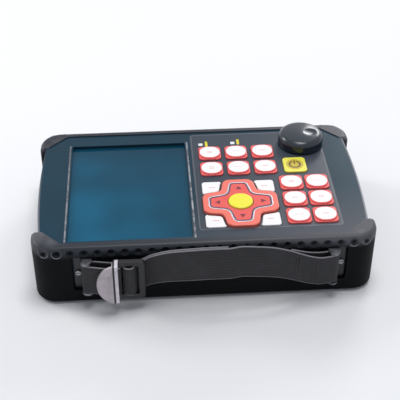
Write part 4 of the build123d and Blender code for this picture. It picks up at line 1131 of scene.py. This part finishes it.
@dataclass
class Screen:
    """Window, trim strips and what is under the window."""

    # Its second colour is bare metal in patches, painted stronger toward the near side and the right as a
    # highlight.
    trim: TrimMetal = TrimMetal("trim_metal", Colour(84, 88, 96), Colour(172, 172, 178))
    gasket: Moulded = Moulded(
        "gasket_foam", Colour(40, 40, 42), Colour(32, 32, 34), 0.85, 0.05, 0.0005, 0.0001
    )
    display: Moulded = Moulded("display_face", Colour(28, 60, 74), Colour(24, 50, 66), 0.3, 0.05)
    bracket: Brushed = Brushed("bracket_steel", Colour(165, 167, 170), (1.0, 0.05, 1.0), 0.0005, 0.4)

    def build(self) -> None:
        """Dresses the nodes."""
        # Glass colours: display tone, painted shade at the far edge and the edge band, painted reflection.
        colours = Colour(12, 68, 91), Colour(12, 42, 56), Colour(14, 96, 127)
        dress(ScreenGlass("screen_glass", *colours, *middle_and_half("screen_window")), "screen_window")
        dress(self.trim, "panel_trim")
        dress(self.gasket, "window_gasket")
        dress(self.display, "lcd_module")
        dress(self.bracket, "lcd_bracket")


@dataclass
class Keypad:
    """Film, key caps, direction pad and pilot lights."""

    layout: Layout
    red: Colour = Colour(238, 98, 94)
    white: Colour = Colour(244, 242, 242)
    yellow: Colour = Colour(246, 240, 62)
    oval: Pair = (7.75 * MM, 7.0 * MM)
    oval_corner: float = 6.8 * MM
    marks: tuple[Mark, ...] = (Mark.LINE, Mark.BARS, Mark.DOTS)
    bars: tuple[Pair, ...] = ((8.4, 50.0), (33.6, 51.6))

    def build(self) -> None:
        """Dresses the keys and adds what is printed and inlaid."""
        self._film()
        for number in range(1, 7):
            area = PrintedArea(self.oval, self.oval_corner, self.marks[number % len(self.marks)])
            self._key(f"upper_key_{number}", self.red, area)
            self._key(f"side_key_{number}", self.red, area)
        whole_cap = PrintedArea((20.0 * MM, 20.0 * MM), 1.0 * MM, Mark.LINE)
        for number in range(1, 5):
            self._key(f"corner_key_{number}", self.white, whole_cap)
        self._others()
        PadInlay(self.layout).build()

    def _film(self) -> None:
        """Dresses the film."""
        middle, half = middle_and_half("keypad_overlay")
        bars = []
        for x, y in self.bars:
            place = self.layout.at(x, y)
            bars.append((place[0] - middle[0], place[1] - middle[1]))
        # Film colours: film, painted sheen toward the near right, printed rim, printed bars.
        colours = Colour(52, 61, 72), Colour(84, 86, 94), Colour(140, 142, 148), Colour(222, 206, 60)
        dress(KeypadFilm("keypad_film", *colours, middle, half, tuple(bars)), "keypad_overlay")

    def _key(self, node: str, skirt: Colour, area: PrintedArea) -> None:
        """Dresses one key with a printed area."""
        middle, _ = middle_and_half(node)
        dress(KeyCap(f"{node}_cap", skirt, self.white, area, middle), node)

    def _others(self) -> None:
        """Dresses the pad, the round key in it, the power key and the lights."""
        centre = self.layout.at(*PadCross().centre)
        pad = PadRubber("pad_rubber", Colour(240, 116, 100), Colour(226, 74, 72), centre)
        enter = Moulded("enter_cap", self.yellow, Colour(238, 222, 54), 0.32, 0.1, 0.0005, 0.00002, 0.05)
        light = Moulded(
            "light_pipe", Colour(240, 240, 238), Colour(222, 226, 228), 0.2, 0.05, 0.0005, 0.00001
        )
        colours = Colour(240, 232, 84), Colour(226, 214, 70), Colour(204, 180, 52), Colour(108, 86, 26)
        middle, _ = middle_and_half("power_key")
        dress(pad, "direction_pad")
        dress(enter, "enter_key")
        dress(PowerCap("power_cap", *colours, middle), "power_key")
        dress(light, "pilot_lights")


@dataclass
class PadInlay:
    """Silver line, dark line inside it and four arrow heads on the direction pad. Sizes in millimetres."""

    layout: Layout
    cross: PadCross = PadCross()
    end_round: float = 4.2
    valley_round: float = 5.0
    step: float = 0.6
    line: float = 0.9
    inner_line: float = 1.1
    shoulder: float = 0.15
    rise: float = 0.12
    low_rise: float = 0.072
    sink: float = 0.1
    arrow_out: float = 16.3
    arrow: tuple[Pair, ...] = ((0.0, 2.47), (-2.185, -1.33), (2.185, -1.33))
    arrow_top: float = 0.86

    def build(self) -> None:
        """Builds the three pieces."""
        silver = Brushed("inlay_silver", Colour(206, 206, 214), (1.0, 1.0, 1.0), 0.0005, 0.3, 0.6)
        texture = 0.4, 0.1, 0.0005, 0.00001, 0.0
        navy = Moulded("inlay_navy", Colour(52, 40, 78), Colour(44, 36, 70), *texture)
        arrow = Moulded("arrow_red", Colour(120, 24, 44), Colour(104, 22, 42), *texture)
        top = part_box("direction_pad")[1].z
        self._ribbon("pad_line", 0.0, self.line, top, silver)
        self._ribbon("pad_line_inner", self.line, self.line + self.inner_line, top, navy)
        self._arrows(top, arrow)

    def _point(self, spot: Vector, z: float) -> Triple:
        """A point of the frame, given from the pad's centre and with its height in metres."""
        return self.layout.at(self.cross.centre[0] + spot.x, self.cross.centre[1] + spot.y, z)

    def _outline(self) -> list[Vector]:
        """Draws the outer edge of the line about the pad's centre.

        Returns:
            Its points, clockwise.
        """
        cross = self.cross
        lobe = ((-cross.end_half, cross.reach), (cross.end_half, cross.reach), (cross.valley, cross.valley))
        corners = [turned(x, y, -angle) for angle in even_angles(4) for x, y in lobe]
        radii = [self.end_round, self.end_round, self.valley_round] * 4
        return rounded_path(corners, radii, self.step, closed=True)

    def _ribbon(self, name: str, outer: float, inner: float, top: float, finish: Finish) -> None:
        """Builds a raised line inside the outline.

        Args:
            name: Name of the piece.
            outer: How far inside the outline the line starts.
            inner: How far inside the outline it ends.
            top: Height of the face that it lies on, in metres.
            finish: Its finish.
        """
        profile = (
            (outer, -self.sink),
            (outer, self.low_rise),
            (outer + self.shoulder, self.rise),
            (inner - self.shoulder, self.rise),
            (inner, self.low_rise),
            (inner, -self.sink),
        )
        path = self._outline()
        points = []
        for spot, side in zip(path, path_sides(path, True)):
            points.extend(self._point(spot - side * inset, top + height * MM) for inset, height in profile)
        shape = Shape()
        shape.rings(points, len(profile), closed=True)
        piece = add_piece(name, shape, finish.material(), "direction_pad")

    def _arrows(self, top: float, finish: Finish) -> None:
        """Builds the four arrow heads as one piece.

        Args:
            top: Height of the face that they lie on, in metres.
            finish: Their finish.
        """
        levels = ((-self.sink, 1.0), (self.low_rise, 1.0), (self.rise, self.arrow_top))
        shape = Shape()
        for angle in even_angles(4):
            points = []
            for height, grow in levels:
                for x, y in self.arrow:
                    spot = turned(x * grow, y * grow + self.arrow_out, angle)
                    points.append(self._point(spot, top + height * MM))
            shape.rings(points, len(self.arrow))
        piece = add_piece("pad_arrows", shape, finish.material(), "direction_pad", smooth=False)


@dataclass
class Knob:
    """Adjusting knob with its encoder."""

    encoder: Moulded = Moulded("encoder_body", Colour(60, 62, 66), Colour(50, 52, 56), 0.5)
    shaft: Brushed = Brushed("encoder_metal", Colour(186, 184, 176), (1.0, 1.0, 0.05), 0.0004, 0.28)

    def build(self) -> None:
        """Dresses the nodes."""
        middle, _ = middle_and_half("adjust_knob")
        dress(KnobGloss("knob_gloss", Colour(28, 40, 54), Colour(24, 33, 45), middle), "adjust_knob")
        dress(self.encoder, "rotary_encoder")
        dress(self.shaft, "encoder_shaft", "encoder_nut")


@dataclass
class Sockets:
    """Sockets along the far side."""

    metal: Brushed = Brushed(
        "socket_metal", Colour(184, 181, 175), (0.3, 0.3, 0.3), 0.0009, 0.24, 1.0, 0.000003
    )

    def build(self) -> None:
        """Dresses the nodes."""
        dress(self.metal, "probe_socket_1", "probe_socket_2", "data_port", "charge_jack")


@dataclass
class Inside:
    """Boards, battery and other pieces inside the housing."""

    board: Circuit = Circuit("circuit_board", Colour(24, 78, 44), Colour(70, 140, 80), Colour(200, 190, 150))
    mat: Moulded = Moulded("mat_silicone", Colour(188, 186, 180), Colour(170, 168, 164), 0.6, 0.1)
    battery: Moulded = Moulded("battery_wrap", Colour(34, 70, 128), Colour(28, 60, 112), 0.35, 0.1)
    shield: Brushed = Brushed("shield_tin", Colour(186, 186, 188), (1.0, 0.1, 1.0), 0.0006, 0.36)
    buzzer: Moulded = Moulded("buzzer_case", Colour(38, 38, 40), Colour(30, 30, 32), 0.5)
    rocker: Moulded = Moulded("rocker_plastic", Colour(206, 206, 202), Colour(190, 190, 186), 0.5)

    def build(self) -> None:
        """Dresses the nodes."""
        dress(self.board, "main_board", "keypad_board")
        dress(self.mat, "keypad_mat")
        dress(self.battery, "battery_pack")
        dress(self.shield, "board_shield")
        dress(self.buzzer, "buzzer")
        dress(self.rocker, "rocker_ring")


@dataclass(frozen=True)
class BuckleFrame:
    """The buckle's bars, in millimetres: it stands across the webbing, and x is its middle bar's."""

    x: float = -54.8
    line: float = 80.0
    bar: float = 3.4
    end_bar: float = 4.0
    slot: float = 5.5
    thickness: float = 3.6


@dataclass
class HandStrap:
    """Hand strap: webbing, short loop, stitches, buckle and anchors. Sizes in millimetres."""

    layout: Layout
    buckle: BuckleFrame = BuckleFrame()
    width: float = 25.0
    thickness: float = 1.4
    edge_profile: tuple[Pair, ...] = ((0.1, 0.45), (0.5, 0.86), (1.4, 1.0), (2.4, 0.84))
    middle_share: float = 0.92
    layer: float = 1.7
    band_line: float = 86.0
    bar_out: float = 76.0
    left_x: float = -84.0
    right_x: float = 90.0
    bar_radius: float = 2.0
    bar_gap: float = 0.2
    slack: float = 0.1
    middle_z: float = 27.6
    aim: Pair = (58.0, -82.0)
    seam_start: float = 32.0
    seam_spread: float = 11.0
    seam_bend: float = 12.0
    seam_rows: tuple[float, ...] = (13.5, 16.0, 26.0, 28.5)
    stitches: int = 7
    stitch_pitch: float = 3.1
    stitch: tuple[Pair, ...] = ((-1.2, -0.25), (-0.8, 0.05), (0.0, 0.16), (0.8, 0.05), (1.2, -0.25))
    thread_radius: float = 0.22
    thread_steps: int = 6
    run_left: float = -16.0
    run_right: float = 36.0
    hand_bend: float = 60.0
    tail_end: float = 14.0
    tail_ramp: Pair = (2.0, 9.0)
    tail_bend: float = 20.0
    dive: float = 0.4
    dive_bend: float = 1.4
    leave: float = 5.0
    leave_bend: float = 8.0
    arch_bend: float = 50.0
    rise: float = 17.0
    rise_top: float = 12.0
    rise_left: Pair = (-52.0, 2.0)
    rise_right: Pair = (84.0, 1.6)
    lean: float = 0.12
    step: float = 1.6
    loop_step: float = 0.8
    anchor_face: float = -73.5
    # Its second colour is mostly a painted highlight along both edges.
    fabric: Webbing = Webbing("strap_fabric", Colour(22, 22, 26), Colour(128, 126, 132))
    thread: Moulded = Moulded(
        "strap_thread", Colour(66, 65, 70), Colour(56, 55, 60), 0.6, 0.1, 0.0004, 0.00005
    )
    # Buckle colours: coating, bare tab, bar painted brighter as a highlight, stains.
    coat: BuckleCoat = BuckleCoat(
        "buckle_coat", Colour(23, 23, 27), Colour(186, 176, 182), Colour(222, 216, 222), Colour(132, 124, 130)
    )

    def build(self) -> None:
        """Builds the webbing and dresses the metal."""
        plate_y = self.layout.at(0.0, self.anchor_face)[1]
        steel = AnchorSteel("anchor_steel", Colour(38, 38, 42), Colour(128, 128, 134), plate_y)
        dress(steel, "strap_anchor_left", "strap_anchor_right")
        dress(self.coat, "strap_buckle")
        fabric = self.fabric.material()
        band = self._sweep("hand_webbing", self._band_path(), False, fabric)
        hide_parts("strap_webbing")
        loop = self._sweep("hand_webbing_loop", self._loop_path(), True, fabric)
        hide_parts("strap_loop")
        self._stitches()

    @property
    def clear(self) -> float:
        """How far the webbing's middle line stays off the metal that it passes."""
        return self.bar_gap + self.thickness / 2

    @property
    def eye(self) -> float:
        """Radius of the webbing's middle line round an anchor's bar."""
        return self.bar_radius + self.clear

    def _lift(self, x: float) -> float:
        """How far the webbing stands above its anchors.

        Args:
            x: Place along the housing.

        Returns:
            The height.
        """
        foot, power = self.rise_left if x < self.rise_top else self.rise_right
        share = min(1.0, (x - self.rise_top) / (foot - self.rise_top))
        return self.rise * (1 + math.cos(math.pi * share**power)) / 2

    def _seam(self) -> tuple[Vector, Vector, Vector]:
        """Where and how the webbing leaves the right anchor.

        Returns:
            The middle of the anchor's bar, the way of the webbing and the direction on its left.
        """
        bar = Vector((self.right_x, -self.bar_out))
        way = (Vector(self.aim) - bar).normalized()
        return bar, way, Vector((-way.y, way.x))

    def _band_path(self) -> list[Vector]:
        """The long webbing's middle line: round the right bar, through the buckle and back.

        Returns:
            Points seen from above.
        """
        bar, way, side = self._seam()
        buckle, eye, layer, line = self.buckle, self.eye, self.layer, -self.band_line
        turn = math.hypot(buckle.bar, buckle.thickness) / 2 + self.clear
        turn_x = buckle.x - turn
        over_x = buckle.x + buckle.bar / 2 + self.clear
        dive_x = buckle.x + buckle.bar / 2 + buckle.slot - self.clear - self.dive
        leave_x = dive_x + buckle.end_bar + self.leave
        front = -buckle.line - turn
        behind = -buckle.line + buckle.thickness / 2 + self.clear
        corners = [
            bar + way * self.seam_start - side * (layer / 2),
            bar + way * self.seam_spread - side * eye,
            bar - way * eye - side * eye,
            bar - way * eye + side * eye,
            bar + way * self.seam_spread + side * eye,
            bar + way * self.seam_start + side * (layer / 2),
            Vector((self.run_right, line)),
            Vector((self.tail_end + self.tail_ramp[1], line)),
            Vector((self.tail_end + self.tail_ramp[0], line - layer)),
            Vector((self.run_left, line - layer)),
            Vector((leave_x, behind)),
            Vector((dive_x, behind)),
            Vector((over_x, front)),
            Vector((turn_x, front)),
            Vector((turn_x, behind + layer)),
            Vector((leave_x, behind + layer)),
            Vector((self.run_left, line)),
            Vector((self.tail_end, line)),
        ]
        radii = [self.seam_bend, eye - self.slack, eye - self.slack, self.seam_bend]
        radii += [self.hand_bend, self.hand_bend, self.tail_bend, self.tail_bend, self.arch_bend]
        radii += [self.leave_bend, self.dive_bend, self.dive_bend, turn - self.slack, turn - self.slack]
        radii += [self.leave_bend, self.arch_bend]
        return rounded_path(corners, radii, self.step)

    def _loop_path(self) -> list[Vector]:
        """The short loop's middle line round the left bar and the buckle's end bar.

        Returns:
            Points seen from above.
        """
        buckle = self.buckle
        far_x = buckle.x - buckle.bar / 2 - buckle.slot - buckle.end_bar / 2
        near, far = Vector((self.left_x, -self.bar_out)), Vector((far_x, -buckle.line))
        way = (far - near).normalized()
        side = Vector((-way.y, way.x))
        small, large = self.eye, math.hypot(buckle.end_bar, buckle.thickness) / 2 + self.clear
        corners = [
            near - way * small + side * small,
            far + way * large + side * large,
            far + way * large - side * large,
            near - way * small - side * small,
        ]
        radii = [radius - self.slack for radius in (small, large, large, small)]
        return rounded_path(corners, radii, self.loop_step, closed=True)

    def _section(self) -> list[Pair]:
        """The webbing's cross-section.

        Returns:
            Pairs of place across it and place through it, all the way round.
        """
        half, thick = self.width / 2, self.thickness / 2
        edge = [(-half + inset, thick * share) for inset, share in self.edge_profile]
        face = [*edge, (0.0, thick * self.middle_share), *((-u, v) for u, v in reversed(edge))]
        return [*face, (half, 0.0), *((u, -v) for u, v in reversed(face)), (-half, 0.0)]

    def _sweep(
        self, name: str, path: list[Vector], closed: bool, material: bpy.types.Material
    ) -> bpy.types.Object:
        """Sweeps the cross-section along a line.

        Args:
            name: Name of the piece.
            path: The middle line seen from above.
            closed: Whether it is a closed loop.
            material: Its finish.

        Returns:
            The piece.
        """
        section = self._section()
        points, route, travelled = [], [], 0.0
        for place, (spot, side) in enumerate(zip(path, path_sides(path, closed))):
            travelled += (spot - path[place - 1]).length if place else 0.0
            lift = self._lift(spot.x)
            for across, through in section:
                at = spot + side * through + Vector((0.0, self.lean * across * lift / self.rise))
                points.append(self.layout.at(at.x, at.y, (self.middle_z + lift + across) * MM))
                route.extend((travelled * MM, across * MM, through * MM))
        shape = Shape()
        shape.rings(points, len(section), closed)
        piece = add_piece(name, shape, material, "housing")
        attribute = piece.data.attributes.new("route", "FLOAT_VECTOR", "POINT")
        attribute.data.foreach_set("vector", route)
        return piece

    def _stitches(self) -> None:
        """Sews the eye at the right anchor: rows of thread across the webbing."""
        bar, way, side = self._seam()
        shape = Shape()
        for row in self.seam_rows:
            spot = bar + way * row
            share = (row - self.seam_spread) / (self.seam_start - self.seam_spread)
            out = self.eye + (self.layer / 2 - self.eye) * share + self.thickness / 2
            for place in range(self.stitches):
                offset = (place - self.stitches // 2) * self.stitch_pitch
                middle = self.middle_z + self._lift(spot.x) + offset
                shape.rings(self._thread(spot + side * out, way, side, middle), self.thread_steps)
        piece = add_piece("strap_stitches", shape, self.thread.material(), "housing")

    def _thread(
        self, spot: Vector, way: Vector, side: Vector, middle: float
    ) -> list[Triple]:
        """The points of one stitch, a short thread that dips into the webbing at both ends.

        Args:
            spot: Its place seen from above.
            way: Direction of the webbing.
            side: Direction out of the webbing.
            middle: Height of its middle.

        Returns:
            The points, one ring after the other.
        """
        points = []
        for along, height in self.stitch:
            for angle in even_angles(self.thread_steps):
                out = height + self.thread_radius * math.cos(angle)
                at = spot + side * out + way * (self.thread_radius * math.sin(angle))
                points.append(self.layout.at(at.x, at.y, (middle + along) * MM))
        return points


def aim_at(thing: bpy.types.Object, target: Vector) -> None:
    """Turns a lamp or the camera toward a point and puts it into the scene."""
    thing.rotation_euler = (target - thing.location).to_track_quat("-Z", "Y").to_euler()
    bpy.context.scene.collection.objects.link(thing)


@dataclass(frozen=True)
class Lamp:
    """A square soft lamp aimed at the object."""

    name: str
    place: Triple
    size: float
    power: float

    def build(self, target: Vector) -> None:
        """Hangs the lamp.

        Args:
            target: The point that it faces.
        """
        light = bpy.data.lights.new(self.name, "AREA")
        light.shape = "SQUARE"
        light.size = self.size
        light.energy = self.power
        lamp = bpy.data.objects.new(self.name, light)
        lamp.location = self.place
        aim_at(lamp, target)


@dataclass
class Studio:
    """Floor, sky, lamps and camera; its eye and aim are in millimetres, with a height in metres."""

    layout: Layout
    eye: Triple = (-38.6, -590.0, 0.487)
    aim: Triple = (0.0, -4.0, 0.036)
    lens: float = 88.0
    sensor: float = 36.0
    floor_reach: float = 30.0
    sky_level: float = 0.42
    sky: Colour = Colour(232, 238, 250)
    backdrop: Colour = Colour(238, 239, 241)
    floor: FloorPaint = FloorPaint("floor_paint", Colour(240, 240, 241), Colour(232, 232, 234))
    lamps: tuple[Lamp, ...] = (
        Lamp("lamp_back", (0.75, 1.5, 0.8), 0.6, 9.0),
        Lamp("lamp_left", (-1.0, 0.5, 0.7), 0.4, 4.5),
        Lamp("lamp_top", (0.1, 0.05, 1.5), 0.6, 11.0),
    )

    def build(self) -> None:
        """Sets the stage."""
        self._floor()
        self._sky()
        target = Vector(self.layout.at(*self.aim))
        for lamp in self.lamps:
            lamp.build(target)
        self._camera(target)

    def _floor(self) -> None:
        """Lays a wide floor under the feet."""
        reach = self.floor_reach
        corners = [(-reach, -reach, 0.0), (reach, -reach, 0.0), (reach, reach, 0.0), (-reach, reach, 0.0)]
        mesh = bpy.data.meshes.new("floor")
        mesh.from_pydata(corners, [], [(0, 1, 2, 3)])
        mesh.materials.append(self.floor.material())
        floor = bpy.data.objects.new("floor", mesh)
        bpy.context.scene.collection.objects.link(floor)

    def _sky(self) -> None:
        """Lights the scene evenly and shows a pale background."""
        world = bpy.data.worlds.new("studio")
        bpy.context.scene.world = world
        graph = Graph(world)
        camera = graph.node("ShaderNodeLightPath", output="Is Camera Ray")
        seen = camera.most(camera.also("Is Glossy Ray")).most(camera.also("Is Transmission Ray"))
        soft = graph.node("ShaderNodeBackground", {}, {"Color": self.sky, "Strength": self.sky_level})
        pale = graph.node("ShaderNodeBackground", {}, {"Color": self.backdrop, "Strength": 1.0})
        choose = graph.node("ShaderNodeMixShader", {}, {0: seen, 1: soft, 2: pale})
        graph.node("ShaderNodeOutputWorld", {}, {"Surface": choose})

    def _camera(self, target: Vector) -> None:
        """Sets the camera at the photograph's viewing angle.

        Args:
            target: The point that it faces.
        """
        data = bpy.data.cameras.new("camera")
        data.lens = self.lens
        data.sensor_width = self.sensor
        data.clip_start = 0.01
        camera = bpy.data.objects.new("camera", data)
        camera.location = self.layout.at(*self.eye)
        aim_at(camera, target)
        bpy.context.scene.camera = camera
        bpy.context.scene.view_settings.view_transform = "Standard"


def clear_start_scene() -> None:
    """Removes what a new Blender scene starts with."""
    for name in ("Cube", "Light", "Camera"):
        found = bpy.data.objects.get(name)
        if found is not None:
            bpy.data.objects.remove(found)


def main() -> None:
    """Builds and dresses everything, in order."""
    logging.basicConfig(level=logging.INFO, format="%(message)s")
    clear_start_scene()
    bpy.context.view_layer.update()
    layout = Layout.from_frame()
    Studio(layout).build()
    assemblies = (
        Housing(layout),
        Eyelets(layout),
        Screen(),
        Keypad(layout),
        Knob(),
        Sockets(),
        Inside(),
        HandStrap(layout),
    )
    for assembly in assemblies:
        assembly.build()


if __name__ == "__main__":
    main()
